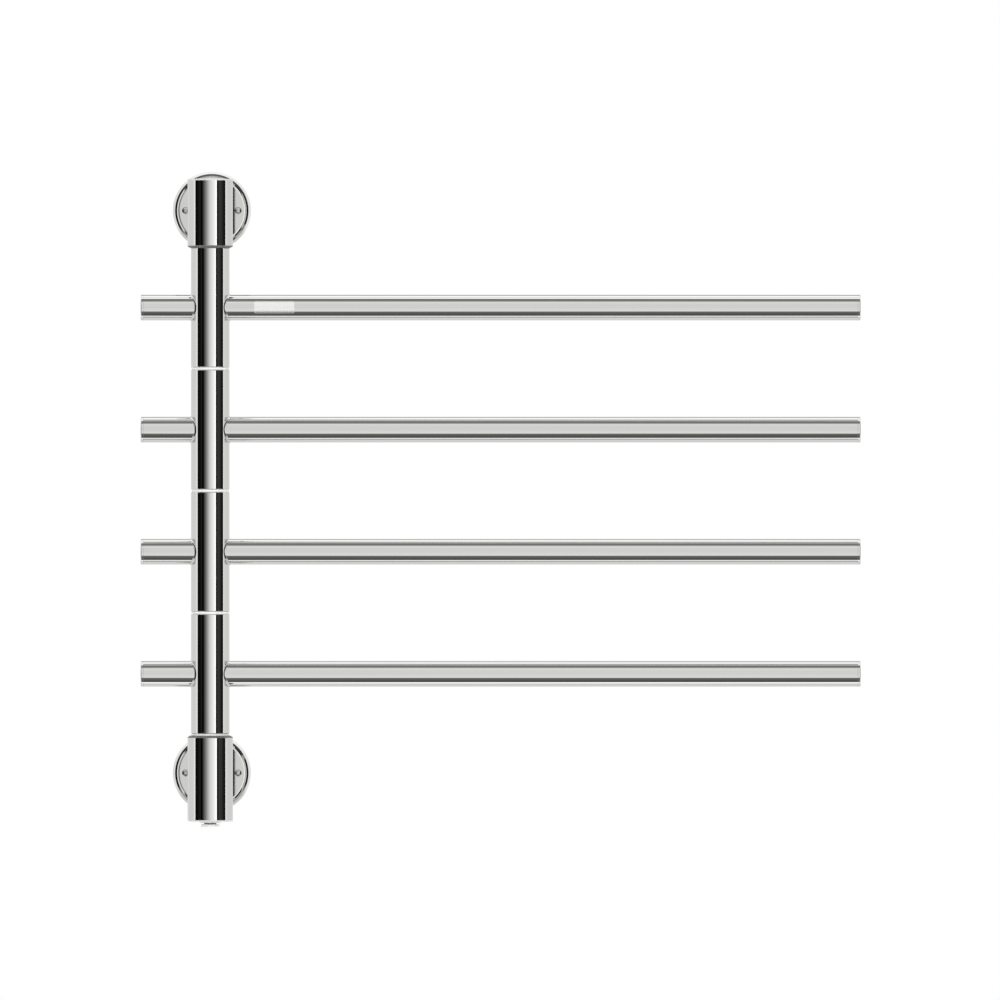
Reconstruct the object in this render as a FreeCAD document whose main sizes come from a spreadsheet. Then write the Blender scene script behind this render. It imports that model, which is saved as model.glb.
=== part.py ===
"""Electric heated towel rail with four swing arms, as a parametric document.

The rail hangs on a wall by two round plates. Each plate carries a neck and a housing, and
a core tube runs upright between the housings. Four hubs turn on the core tube, and each
carries a long heated bar and a short stub. A push button under the bottom housing switches it.

Frame: the origin is on the wall, midway between the plates; X points along the bars to
their long ends, Y into the wall and Z up. Lengths are millimetres, angles degrees.
"""
import FreeCAD, Part
import math
import os

import Sketcher

DIMENSIONS = [
    # arms
    ("bar_pitch", "95", "height between neighbouring bars"),
    ("stack_rise", "0.8", "middle of the four arms above the middle of the wall plates"),
    ("bar_diameter", "20", "bar and stub tube, outside"),
    ("bar_wall", "1", "bar and stub tube wall"),
    ("bar_reach", "506", "column axis to the long end of an arm"),
    ("stub_reach", "54", "column axis to the short end of an arm"),
    ("swing_angle", "180", "turn of an arm between its stops"),
    ("hub_diameter", "30", "hub tube, outside"),
    ("hub_wall", "1.25", "hub tube wall"),
    ("hub_edge_round", "0.6", "rounding of a hub's two ends"),
    ("hub_port_diameter", "15", "hole from the hub into its bar"),
    ("cap_thickness", "2.2", "visible disc of an end cap"),
    ("cap_spigot", "8", "length of an end cap inside its tube"),
    ("cap_edge_round", "0.7", "rounding of an end cap's outer edge"),
    ("cap_seam_round", "0.15", "rounding of an end cap where it meets its tube"),
    ("label_start", "34.4", "column axis to the blank plate"),
    ("label_length", "31.2", "blank plate along the bar"),
    ("label_width", "9.7", "blank plate round the bar"),
    ("label_thickness", "0.25", "blank plate"),
    # bearings and stops
    ("core_diameter", "19", "core tube, outside"),
    ("core_wall", "1.5", "core tube wall"),
    ("running_clearance", "0.06", "radial play of a bush on the core tube"),
    ("press_clearance", "0.03", "radial gap of pieces that are pressed or brazed together"),
    ("end_play", "0.1", "play at each end of a hub"),
    ("washer_thickness", "1.8", "thrust washer"),
    ("washer_inset", "0.5", "thrust washer's edge inside the hub's outside"),
    ("bush_length", "14", "bush along the hub"),
    ("bush_inset", "0.5", "bush back from the hub's end"),
    ("pin_diameter", "3", "stop pin"),
    ("pin_clearance", "0.6", "stop pin's end to the hub's bore"),
    ("stop_clearance", "0.3", "stop pin to the ends and roof of its notch"),
    # heating
    ("cord_diameter", "4.2", "heating cord"),
    ("cord_bend", "4", "radius of the heating cord's loop"),
    ("cord_end_gap", "10", "heating cord's loop to the end cap"),
    ("seat_gap", "0.3", "gap of a loose inner piece to what it lies on"),
    ("plug_start", "3", "hub's outside to the lead's moulded plug"),
    ("plug_length", "12", "moulded plug between heating cord and lead"),
    ("lead_diameter", "3.4", "two-core lead from bar to column"),
    ("lead_bend", "6", "bend of the lead on the column axis"),
    ("lead_tail", "16", "straight length of lead along the column axis"),
    ("lead_clearance", "1", "window of the core tube round a lead"),
    ("trunk_diameter", "4.4", "cable in the core tube"),
    ("trunk_bend", "5", "bend of that cable at the terminal block"),
    ("splice_length", "12", "splice between a lead and the trunk cable"),
    # brackets
    ("standoff", "75", "wall to the column axis"),
    ("housing_overhang", "2.65", "housing's outside beyond the hub's"),
    ("housing_wall", "2.2", "housing's wall"),
    ("housing_floor", "3", "housing's end wall at the column"),
    ("housing_edge_round", "0.3", "rounding of the housing's edge at the column"),
    ("mouth_depth", "1.2", "shallow mouth that takes the end of the hub stack, on average"),
    ("mouth_clearance", "0.3", "radial gap between mouth and hub"),
    ("seal_height", "1.5", "conical rubber seal round the mouth"),
    ("seal_edge", "0.3", "straight outer edge of that seal"),
    ("seal_lip", "0.3", "flat inner lip of that seal"),
    ("anchor_length", "14", "anchor of the core tube"),
    ("anchor_floor", "2", "end wall of an anchor"),
    ("set_screw_diameter", "5", "set screw through housing and anchor"),
    ("set_screw_recess", "0.6", "set screw below the housing's outside"),
    ("set_screw_socket", "2.5", "across the flats of its hexagon socket"),
    ("neck_diameter", "26", "neck tube, outside"),
    ("neck_wall", "2", "neck tube wall"),
    ("neck_margin", "1.1", "anchor's end to the neck's bore"),
    ("top_tail", "9.15", "top housing beyond its neck"),
    ("bottom_tail", "22.35", "bottom housing beyond its neck"),
    ("lid_rim", "1", "straight edge of a lid"),
    ("lid_edge_round", "0.35", "rounding of a lid's edge"),
    ("lid_floor", "1", "lid inside the housing's end"),
    ("lid_spigot", "7", "lid's ring inside the housing"),
    ("lid_spigot_wall", "1.8", "wall of that ring"),
    ("dome_radius", "188", "crown of a lid"),
    ("plate_diameter", "61", "wall plate"),
    ("plate_thickness", "8", "wall plate inside its rim"),
    ("rim_width", "1.8", "outer bevel of the wall plate"),
    ("rim_fall", "1.82", "fall of that bevel to the plate's edge"),
    ("rim_rise", "0.88", "crest of that bevel above the plate's face"),
    ("groove_bevel", "1.5", "steep outer side of the groove inside that crest"),
    ("groove_floor", "1.05", "sloped floor of that groove"),
    ("groove_lift", "0.05", "rise of that floor towards the crest"),
    ("groove_roll", "1.05", "rolled inner side of that groove"),
    ("groove_roll_radius", "2.6", "radius of that roll"),
    ("screw_offset", "20.5", "wall plate's centre to a wall screw"),
    ("screw_hole_clearance", "0.25", "radial gap of a wall screw in its plate"),
    ("screw_head_diameter", "5.6", "wall screw's head"),
    ("screw_head_rim", "0.5", "straight edge of that head"),
    ("screw_head_crown", "5", "radius of that head's crown"),
    ("screw_shank_diameter", "4.6", "plain shank in the plate"),
    ("screw_thread_diameter", "4", "threaded part in the wall"),
    ("screw_length", "30", "threaded part in the wall"),
    ("screw_tip", "5", "pointed end of that part"),
    ("cross_length", "3.2", "cross recess, end to end"),
    ("cross_width", "0.8", "one arm of the cross recess"),
    ("cross_depth", "1", "cross recess, from the crown"),
    # supply and switch
    ("cable_port_diameter", "14", "hole from the neck into the bottom housing"),
    ("grommet_diameter", "12", "grommet in the bottom wall plate"),
    ("grommet_bore", "7.2", "hole of the grommet for the supply cable"),
    ("grommet_flange", "3", "grommet's flange beyond its body"),
    ("grommet_flange_thickness", "1.5", "grommet's flange"),
    ("block_width", "12", "terminal block across"),
    ("block_depth", "7", "terminal block front to back"),
    ("block_height", "14", "terminal block"),
    ("block_back", "4", "column axis to the block's back"),
    ("well_diameter", "2.6", "screw wells of the terminal block"),
    ("well_spacing", "3.8", "between those wells"),
    ("well_depth", "4", "depth of those wells"),
    ("terminal_screw_length", "2.5", "terminal screws, at the bottom of the wells"),
    ("wire_diameter", "1.8", "single wires in the bottom housing"),
    ("wire_spacing", "7", "between the two switch wires"),
    ("earth_bend", "2", "bends of the earth wire"),
    ("earth_post_margin", "0.4", "earth post inside the anchor's ring"),
    ("earth_post_height", "4", "earth post under the anchor"),
    ("switch_diameter", "18", "switch body"),
    ("switch_height", "17", "switch body"),
    ("switch_bore_depth", "9", "bore of the switch body"),
    ("switch_boss", "5", "ring on the lid that holds the switch body"),
    ("switch_boss_wall", "1.4", "wall of that ring"),
    ("bezel_diameter", "17", "pale ring on the lid round the button"),
    ("bezel_thickness", "0.65", "that ring"),
    ("bezel_edge_round", "0.2", "rounding of that ring's edge"),
    ("collar_diameter", "9.7", "red collar of the button"),
    ("collar_flange", "1", "collar's flange beyond its outside"),
    ("collar_flange_thickness", "1.2", "collar's flange, which keeps the button in the lid"),
    ("slide_clearance", "0.3", "radial gap of the collar in lid and switch"),
    ("button_diameter", "14.4", "push button"),
    ("button_thickness", "2.25", "push button"),
    ("button_edge_round", "0.7", "rounding of the push button"),
    ("button_gap", "0.95", "that ring to the push button"),
    ("stem_diameter", "4.6", "stem of the push button"),
    ("stem_length", "10.5", "stem of the push button"),
    ("spring_wire", "0.6", "return spring's wire"),
    ("spring_turns", "4", "return spring's turns"),
    ("lamp_diameter", "3", "indicator lamp"),
    ("lamp_height", "1.2", "indicator lamp"),
]

STACK_LEVEL = "(%.1f * dims.bar_pitch + dims.stack_rise)"
ARM_LEVELS = [STACK_LEVEL % step for step in (1.5, 0.5, -0.5, -1.5)]
WASHER_LEVELS = [STACK_LEVEL % step for step in (2, 1, 0, -1, -2)]

doc = FreeCAD.newDocument("swing_rail")
sheet = doc.addObject("Spreadsheet::Sheet", "dims")
for row, (alias, value, meaning) in enumerate(DIMENSIONS, start=1):
    sheet.set("A%d" % row, meaning)
    sheet.set("B%d" % row, value)
    sheet.setAlias("B%d" % row, alias)
doc.recompute()

# Derived sizes, written as expressions of the sheet's names.
AXIS_Y = "-dims.standoff"
HUB_R = "(dims.hub_diameter / 2)"
HUB_BORE = "(dims.hub_diameter / 2 - dims.hub_wall)"
HUB_HALF = "(dims.bar_pitch / 2 - dims.washer_thickness / 2 - dims.end_play)"
BAR_R = "(dims.bar_diameter / 2)"
BAR_BORE = "(dims.bar_diameter / 2 - dims.bar_wall)"
CORE_R = "(dims.core_diameter / 2)"
CORE_BORE = "(dims.core_diameter / 2 - dims.core_wall)"
CORE_SEAT = "(dims.core_diameter / 2 + dims.press_clearance)"
PIN_R = "(dims.pin_diameter / 2)"
CORD_R = "(dims.cord_diameter / 2)"
LEAD_R = "(dims.lead_diameter / 2)"
TRUNK_R = "(dims.trunk_diameter / 2)"
TRUNK_Y = "(%s - %s - dims.seat_gap)" % (CORE_BORE, TRUNK_R)
PLUG_X = "(%s + dims.plug_start)" % HUB_R
HOUSING_R = "(%s + dims.housing_overhang)" % HUB_R
HOUSING_BORE = "(%s - dims.housing_wall)" % HOUSING_R
MOUTH_R = "(%s + dims.mouth_clearance)" % HUB_R
NECK_R = "(dims.neck_diameter / 2)"
NECK_BORE = "(dims.neck_diameter / 2 - dims.neck_wall)"
# Levels along a housing, counted outwards from the edge of its mouth.
SEAL_SEAT = "(dims.seal_height + dims.press_clearance)"
ANCHOR_FOOT = "(dims.mouth_depth + dims.housing_floor)"
ANCHOR_END = "(%s + dims.anchor_length)" % ANCHOR_FOOT
NECK_LEVEL = "(%s + %s + dims.neck_margin)" % (ANCHOR_END, NECK_BORE)
TOP_LENGTH = "(%s + %s + dims.top_tail)" % (NECK_LEVEL, NECK_R)
BOTTOM_LENGTH = "(%s + %s + dims.bottom_tail)" % (NECK_LEVEL, NECK_R)
# Heights above and below the middle of the column.
MOUTH_EDGE = "(2 * dims.bar_pitch + dims.washer_thickness / 2 - dims.mouth_depth)"
PLATE_LEVEL = "(%s + %s)" % (MOUTH_EDGE, NECK_LEVEL)
CORE_HALF = "(%s + %s - dims.anchor_floor - dims.end_play)" % (MOUTH_EDGE, ANCHOR_END)
BOTTOM_END = "(%s + %s)" % (MOUTH_EDGE, BOTTOM_LENGTH)
# Levels of the switch, counted outwards from the bottom housing's end.
COLLAR_BORE = "(dims.collar_diameter / 2 + dims.slide_clearance)"
RIM_DROP = "sqrt(dims.dome_radius ^ 2 - %s ^ 2)" % HOUSING_R
CROWN = "(dims.lid_rim + dims.dome_radius - %s)" % RIM_DROP
BEZEL_R = "(dims.bezel_diameter / 2)"
BEZEL_DROP = "sqrt(dims.dome_radius ^ 2 - %s ^ 2)" % BEZEL_R
BEZEL_SEAT = "(dims.lid_rim + %s - %s)" % (BEZEL_DROP, RIM_DROP)
BEZEL_BASE = "(%s + dims.press_clearance)" % BEZEL_SEAT
BEZEL_END = "(%s + dims.bezel_thickness)" % BEZEL_BASE
BUTTON_TOP = "(%s + dims.button_gap)" % BEZEL_END
COLLAR_SHOULDER = "(-dims.lid_floor - dims.end_play)"
COLLAR_TOP = "(%s - dims.collar_flange_thickness)" % COLLAR_SHOULDER
FLANGE_R = "(dims.collar_diameter / 2 + dims.collar_flange)"
SWITCH_BORE = "(%s + dims.slide_clearance)" % FLANGE_R
SWITCH_BORE_END = "(-dims.lid_floor - dims.switch_bore_depth)"
SET_SCREW_R = "(dims.set_screw_diameter / 2)"
SET_SCREW_LEVEL = "(%s + dims.anchor_length / 2)" % ANCHOR_FOOT
ANCHOR_R = "(%s - dims.press_clearance)" % HOUSING_BORE
BLOCK_TOP = "-(%s + %s)" % (MOUTH_EDGE, ANCHOR_END)
EARTH_X = "-((%s + %s) / 2)" % (CORE_SEAT, ANCHOR_R)
LID_BASE = ("0", AXIS_Y, "-" + BOTTOM_END)
SPRING_R = "((%s + dims.stem_diameter / 2) / 2)" % SWITCH_BORE
SPRING_END = "(%s + dims.spring_wire / 2 + dims.end_play)" % SWITCH_BORE_END

UPRIGHT = FreeCAD.Rotation()
ALONG_X = FreeCAD.Rotation(FreeCAD.Vector(0, 1, 0), 90)
ALONG_Y = FreeCAD.Rotation(FreeCAD.Vector(1, 0, 0), -90)
HANGING = FreeCAD.Rotation(FreeCAD.Vector(0, 1, 0), 180)

# Largest share of a wall, and of a disc's thickness, that a rounding takes.
WALL_SHARE = "0.9"
DISC_SHARE = "0.4"
WELL_STEPS = (-1, 0, 1)
SAME = 1e-6

pieces = []


def number(expression):
    """Value of an expression of the sheet's names."""
    return float(sheet.evalExpression(expression))


def keep(piece):
    """Marks an object of the document as a finished sub-part."""
    pieces.append(piece)
    return piece


def place(piece, base, rotation=UPRIGHT):
    """Turns a piece and ties its three coordinates to the sheet."""
    piece.Placement = FreeCAD.Placement(FreeCAD.Vector(), rotation)
    for axis, expression in zip("xyz", base):
        piece.setExpression("Placement.Base." + axis, expression)
    return piece


def new_body(label, base, rotation=UPRIGHT):
    """An empty body at its place in the rail."""
    return place(doc.addObject("PartDesign::Body", label), base, rotation)


def sketch_on(body, plane, name, offset="0"):
    """A sketch on one of the body's own origin planes, moved along the plane's normal."""
    sketch = body.newObject("Sketcher::SketchObject", "%s_%s" % (body.Label, name))
    support = next(f for f in body.Origin.OriginFeatures if f.Role == plane)
    sketch.AttachmentSupport = [(support, "")]
    sketch.MapMode = "FlatFace"
    sketch.setExpression("AttachmentOffset.Base.z", offset)
    return sketch


def tie_point(sketch, line, end, across, up):
    """Ties one end of a line or arc, or an arc's centre, to two expressions."""
    for kind, expression in (("DistanceX", across), ("DistanceY", up)):
        rule = Sketcher.Constraint(kind, -1, 1, line, end, number(expression))
        sketch.setExpression("Constraints[%d]" % sketch.addConstraint(rule), expression)


def tie_radius(sketch, line, radius):
    """Ties the radius of a circle or arc to an expression."""
    rule = Sketcher.Constraint("Radius", line, number(radius))
    sketch.setExpression("Constraints[%d]" % sketch.addConstraint(rule), radius)


def arc_between(start, end, radius):
    """The arc that turns left from start to end."""
    chord = end - start
    left = FreeCAD.Vector(-chord.y, chord.x, 0).normalize()
    rise = math.sqrt(max(radius ** 2 - chord.Length ** 2 / 4, 0))
    centre = (start + end) / 2 + left * rise
    angles = [math.atan2(spot.y - centre.y, spot.x - centre.x) for spot in (start, end)]
    circle = Part.Circle(centre, FreeCAD.Vector(0, 0, 1), radius)
    return Part.ArcOfCircle(circle, angles[0], angles[1])


def outline(sketch, corners, closed=True):
    """Draws lines through corners, each (across, up); a third value makes a left-hand arc."""
    first = sketch.GeometryCount
    spots = [FreeCAD.Vector(number(corner[0]), number(corner[1]), 0) for corner in corners]
    count = len(corners)
    for i in range(count if closed else count - 1):
        start, end = spots[i], spots[(i + 1) % count]
        if len(corners[i]) == 2:
            sketch.addGeometry(Part.LineSegment(start, end), False)
        else:
            sketch.addGeometry(arc_between(start, end, number(corners[i][2])), False)
    for i in range(count if closed else count - 1):
        tie_point(sketch, first + i, 1, corners[i][0], corners[i][1])
        if closed or i < count - 2:
            following = first + (i + 1) % count
            sketch.addConstraint(Sketcher.Constraint("Coincident", first + i, 2, following, 1))
        if len(corners[i]) == 3:
            tie_radius(sketch, first + i, corners[i][2])
    if not closed:
        tie_point(sketch, first + count - 2, 2, corners[-1][0], corners[-1][1])
    return sketch


def circle(sketch, across, up, radius):
    """Draws a circle tied to the sheet."""
    centre = FreeCAD.Vector(number(across), number(up), 0)
    normal = FreeCAD.Vector(0, 0, 1)
    line = sketch.addGeometry(Part.Circle(centre, normal, number(radius)), False)
    tie_point(sketch, line, 3, across, up)
    tie_radius(sketch, line, radius)
    return sketch


def turn(body, sketch, axis):
    """Sweeps a sketch right round one of its own axes."""
    turned = body.newObject("PartDesign::Revolution", body.Label + "_turned")
    turned.Profile = sketch
    turned.ReferenceAxis = (sketch, [axis])
    turned.Angle = 360
    doc.recompute()
    return body


def turned_piece(label, plane, corners, axis, base, rotation=UPRIGHT):
    """A piece made on a lathe."""
    body = new_body(label, base, rotation)
    return turn(body, outline(sketch_on(body, plane, "profile"), corners), axis)


def round_edges(body, radius, edge_radius, level=None, along="z"):
    """Rounds the circular edges of one radius, all of them or those at one level along an axis."""
    base = body.Tip
    names = []
    for index, edge in enumerate(base.Shape.Edges, start=1):
        if edge.Degenerated or not isinstance(edge.Curve, Part.Circle):
            continue
        if abs(edge.Curve.Radius - number(edge_radius)) > SAME:
            continue
        if level is None or abs(getattr(edge.Curve.Center, along) - number(level)) < SAME:
            names.append("Edge%d" % index)
    rounding = body.newObject("PartDesign::Fillet", body.Label + "_rounding")
    rounding.Base = (base, names)
    rounding.setExpression("Radius", radius)
    doc.recompute()
    return body


def pocket(body, sketch, length, onwards=False):
    """Cuts a sketch into a body, against its normal or onwards along it, and checks the cut."""
    before = body.Shape.Volume
    cut = body.newObject("PartDesign::Pocket", sketch.Name + "_cut")
    cut.Profile = sketch
    cut.Reversed = onwards
    cut.setExpression("Length", length)
    doc.recompute()
    if body.Shape.Volume >= before:
        raise RuntimeError("%s cuts nothing" % cut.Name)
    return body


def groove(body, sketch, axis, angle):
    """Cuts a sketch round one of its own axes, to both sides of its plane."""
    before = body.Shape.Volume
    cut = body.newObject("PartDesign::Groove", sketch.Name + "_cut")
    cut.Profile = sketch
    cut.ReferenceAxis = (sketch, [axis])
    cut.Midplane = True
    cut.setExpression("Angle", angle)
    doc.recompute()
    if body.Shape.Volume >= before:
        raise RuntimeError("%s cuts nothing" % cut.Name)
    return body


def pad(body, sketch, length):
    """Raises a sketch along its normal."""
    raised = body.newObject("PartDesign::Pad", sketch.Name + "_raised")
    raised.Profile = sketch
    raised.setExpression("Length", length)
    doc.recompute()
    return body


def pipe(body, profile, spine):
    """Runs a round section along a spine."""
    run = body.newObject("PartDesign::AdditivePipe", body.Label + "_run")
    run.Profile = profile
    run.Spine = (spine, ["Edge%d" % (i + 1) for i in range(spine.GeometryCount)])
    doc.recompute()
    return body


def cylinder(label, radius, length, base, rotation=UPRIGHT):
    """A plain round bar."""
    bar = doc.addObject("Part::Cylinder", label)
    bar.setExpression("Radius", radius)
    bar.setExpression("Height", length)
    return place(bar, base, rotation)


def cut(label, base, tool):
    """One solid less another."""
    result = doc.addObject("Part::Cut", label)
    result.Base = base
    result.Tool = tool
    return result


def ring(label, outer, inner, length, base, rotation=UPRIGHT):
    """A round bar with a round hole."""
    solid = cylinder(label + "_outside", outer, length, base, rotation)
    hole = cylinder(label + "_hole", inner, length, base, rotation)
    return cut(label, solid, hole)


def group(label, members):
    """Like pieces that share one sub-part."""
    result = doc.addObject("Part::Compound", label)
    result.Links = members
    return result


def hub(label, level):
    """A tube segment of the column, with rounded ends and a port into its long bar."""
    corners = [
        (HUB_BORE, "-" + HUB_HALF),
        (HUB_R, "-" + HUB_HALF),
        (HUB_R, HUB_HALF),
        (HUB_BORE, HUB_HALF),
    ]
    body = turned_piece(label, "XZ_Plane", corners, "V_Axis", ("0", AXIS_Y, level))
    round_edges(body, "min(dims.hub_edge_round; %s * dims.hub_wall)" % WALL_SHARE, HUB_R)
    port = circle(sketch_on(body, "YZ_Plane", "port"), "0", "0", "dims.hub_port_diameter / 2")
    return pocket(body, port, HUB_R, onwards=True)


def saddle_tube(label, level, start, length):
    """A bar or stub tube, cut at its inner end to sit on the hub."""
    tube = ring(label + "_tube", BAR_R, BAR_BORE, length, (start, AXIS_Y, level), ALONG_X)
    saddle = cylinder(
        label + "_saddle",
        "%s + dims.press_clearance" % HUB_R,
        "2 * dims.bar_diameter",
        ("0", AXIS_Y, "%s - dims.bar_diameter" % level),
    )
    return cut(label, tube, saddle)


def end_cap(label, level, x, outwards):
    """A disc with a spigot that closes the end of a bar or stub."""
    spigot = "(%s - dims.press_clearance)" % BAR_BORE
    corners = [
        ("-dims.cap_spigot", "0"),
        ("dims.cap_thickness", "0"),
        ("dims.cap_thickness", BAR_R),
        ("0", BAR_R),
        ("0", spigot),
        ("-dims.cap_spigot", spigot),
    ]
    body = turned_piece(label, "XZ_Plane", corners, "H_Axis", (x, AXIS_Y, level), outwards)
    outer = "min(dims.cap_edge_round; %s * dims.cap_thickness)" % WALL_SHARE
    round_edges(body, outer, BAR_R, "dims.cap_thickness", "x")
    return round_edges(body, "dims.cap_seam_round", BAR_R, "0", "x")


def bush(label, foot, notched):
    """A plastic bearing in a hub's end; the lower one has a notch that meets the stop pin."""
    inner = "(%s + dims.running_clearance)" % CORE_R
    outer = "(%s - dims.press_clearance)" % HUB_BORE
    corners = [
        (inner, "0"),
        (outer, "0"),
        (outer, "dims.bush_length"),
        (inner, "dims.bush_length"),
    ]
    body = turned_piece(label, "XZ_Plane", corners, "V_Axis", ("0", AXIS_Y, foot))
    if notched:
        roof = "(dims.pin_diameter + 2 * dims.stop_clearance)"
        notch = [
            ("-(%s + dims.hub_wall)" % outer, "-" + roof),
            ("-(%s - dims.core_wall)" % inner, "-" + roof),
            ("-(%s - dims.core_wall)" % inner, roof),
            ("-(%s + dims.hub_wall)" % outer, roof),
        ]
        sketch = outline(sketch_on(body, "XZ_Plane", "notch"), notch)
        reach = "asin((%s + dims.stop_clearance) / %s)" % (PIN_R, CORE_R)
        groove(body, sketch, "V_Axis", "dims.swing_angle * 1 deg + 2 * " + reach)
    return body


def heating_cord(label, level):
    """A loop of heating cord that lies along the bottom of the bar's bore."""
    lying = "(%s - %s - dims.seat_gap)" % (BAR_BORE, CORD_R)
    drop = "sqrt(%s ^ 2 - dims.cord_bend ^ 2)" % lying
    start = "(%s + dims.plug_length)" % PLUG_X
    end_stop = "dims.bar_reach - dims.cap_thickness - dims.cap_spigot - dims.cord_end_gap"
    turn_x = "(%s - %s - dims.cord_bend)" % (end_stop, CORD_R)
    body = new_body(label, ("0", AXIS_Y, "%s - %s" % (level, drop)))
    section = sketch_on(body, "YZ_Plane", "section", start)
    circle(section, "-dims.cord_bend", "0", CORD_R)
    route = [
        (start, "-dims.cord_bend"),
        (turn_x, "-dims.cord_bend", "dims.cord_bend"),
        ("%s + dims.cord_bend" % turn_x, "0", "dims.cord_bend"),
        (turn_x, "dims.cord_bend"),
        (start, "dims.cord_bend"),
    ]
    return pipe(body, section, outline(sketch_on(body, "XY_Plane", "route"), route, closed=False))


def arm_lead(label, level):
    """A moulded plug in the bar and its two-core lead, bent down along the column axis."""
    body = new_body(label, ("0", AXIS_Y, level))
    plug = circle(sketch_on(body, "YZ_Plane", "plug", PLUG_X), "0", "0", BAR_BORE + " - dims.seat_gap")
    pad(body, plug, "dims.plug_length")
    section = circle(sketch_on(body, "YZ_Plane", "section", PLUG_X), "0", "0", LEAD_R)
    bend_end = "-(dims.lead_bend + dims.lead_tail)"
    route = [
        (PLUG_X, "0"),
        ("dims.lead_bend", "0", "dims.lead_bend"),
        ("0", "-dims.lead_bend"),
        ("0", bend_end),
    ]
    return pipe(body, section, outline(sketch_on(body, "XZ_Plane", "route"), route, closed=False))


def blank_plate(label, level):
    """A thin plate without any marks, wrapped on the front of the top bar."""
    inner = "(%s + dims.press_clearance)" % BAR_R
    outer = "(%s + dims.label_thickness)" % inner
    end = "(dims.label_start + dims.label_length)"
    body = new_body(label, ("0", AXIS_Y, level))
    corners = [
        ("dims.label_start", "-" + outer),
        (end, "-" + outer),
        (end, "-" + inner),
        ("dims.label_start", "-" + inner),
    ]
    sketch = outline(sketch_on(body, "XY_Plane", "profile"), corners)
    wrapped = body.newObject("PartDesign::Revolution", label + "_wrapped")
    wrapped.Profile = sketch
    wrapped.ReferenceAxis = (sketch, ["H_Axis"])
    wrapped.Midplane = True
    wrapped.setExpression("Angle", "dims.label_width / %s * 180 / pi" % BAR_R)
    doc.recompute()
    return body


def arm(index, level):
    """One swing arm: hub, bar, stub, end caps, bushes, heating cord and lead."""
    name = "arm_%d_" % index
    keep(hub(name + "hub", level))
    bar_end = "(dims.bar_reach - dims.cap_thickness)"
    stub_end = "(dims.stub_reach - dims.cap_thickness)"
    keep(saddle_tube(name + "bar", level, "0", bar_end))
    keep(saddle_tube(name + "stub", level, "-" + stub_end, stub_end))
    caps = [
        end_cap(name + "bar_cap", level, bar_end, UPRIGHT),
        end_cap(name + "stub_cap", level, "-" + stub_end, HANGING),
    ]
    keep(group(name + "end_caps", caps))
    upper = "%s + %s - dims.bush_inset - dims.bush_length" % (level, HUB_HALF)
    lower = "%s - %s + dims.bush_inset" % (level, HUB_HALF)
    bushes = [
        bush(name + "upper_bush", upper, False),
        bush(name + "lower_bush", lower, True),
    ]
    keep(group(name + "bushes", bushes))
    keep(heating_cord(name + "heating_cord", level))
    keep(arm_lead(name + "lead", level))


def core_tube():
    """The fixed tube that the hubs turn on, with a window per lead and a hole per stop pin."""
    body = new_body("core_tube", ("0", AXIS_Y, "0"))
    corners = [
        (CORE_BORE, "-" + CORE_HALF),
        (CORE_R, "-" + CORE_HALF),
        (CORE_R, CORE_HALF),
        (CORE_BORE, CORE_HALF),
    ]
    turn(body, outline(sketch_on(body, "XZ_Plane", "profile"), corners), "V_Axis")
    half = "(%s + dims.lead_clearance)" % LEAD_R
    near = "-(%s - dims.core_wall)" % CORE_BORE
    far = "-(%s + dims.core_wall)" % CORE_R
    windows = sketch_on(body, "YZ_Plane", "windows")
    for level in ARM_LEVELS:
        low, high = "%s - %s" % (level, half), "%s + %s" % (level, half)
        outline(windows, [(far, low), (near, low), (near, high), (far, high)])
    reach = "asin(%s / %s)" % (half, CORE_BORE)
    groove(body, windows, "V_Axis", "dims.swing_angle * 1 deg + 2 * " + reach)
    holes = sketch_on(body, "XZ_Plane", "pin_holes")
    for level in ARM_LEVELS:
        circle(holes, "0", pin_level(level), PIN_R)
    return pocket(body, holes, CORE_R)


def pin_level(level):
    """Height of an arm's stop pin, inside the notch of its lower bush."""
    return "%s - %s + dims.bush_inset + dims.stop_clearance + %s" % (level, HUB_HALF, PIN_R)


def stop_pins():
    """Pins pressed into the back of the core tube, one per arm."""
    pins = []
    for index, level in enumerate(ARM_LEVELS, start=1):
        base = ("0", "%s + %s" % (AXIS_Y, CORE_BORE), pin_level(level))
        length = "%s - dims.pin_clearance - %s" % (HUB_BORE, CORE_BORE)
        radius = "%s - dims.press_clearance" % PIN_R
        pins.append(cylinder("stop_pin_%d" % index, radius, length, base, ALONG_Y))
    return group("stop_pins", pins)


def thrust_washers():
    """Flat rings under, between and over the hubs."""
    rings = []
    outer = "%s - dims.washer_inset" % HUB_R
    for index, level in enumerate(WASHER_LEVELS, start=1):
        base = ("0", AXIS_Y, "%s - dims.washer_thickness / 2" % level)
        rings.append(ring("thrust_washer_%d" % index, outer, CORE_SEAT, "dims.washer_thickness", base))
    return group("thrust_washers", rings)


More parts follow.
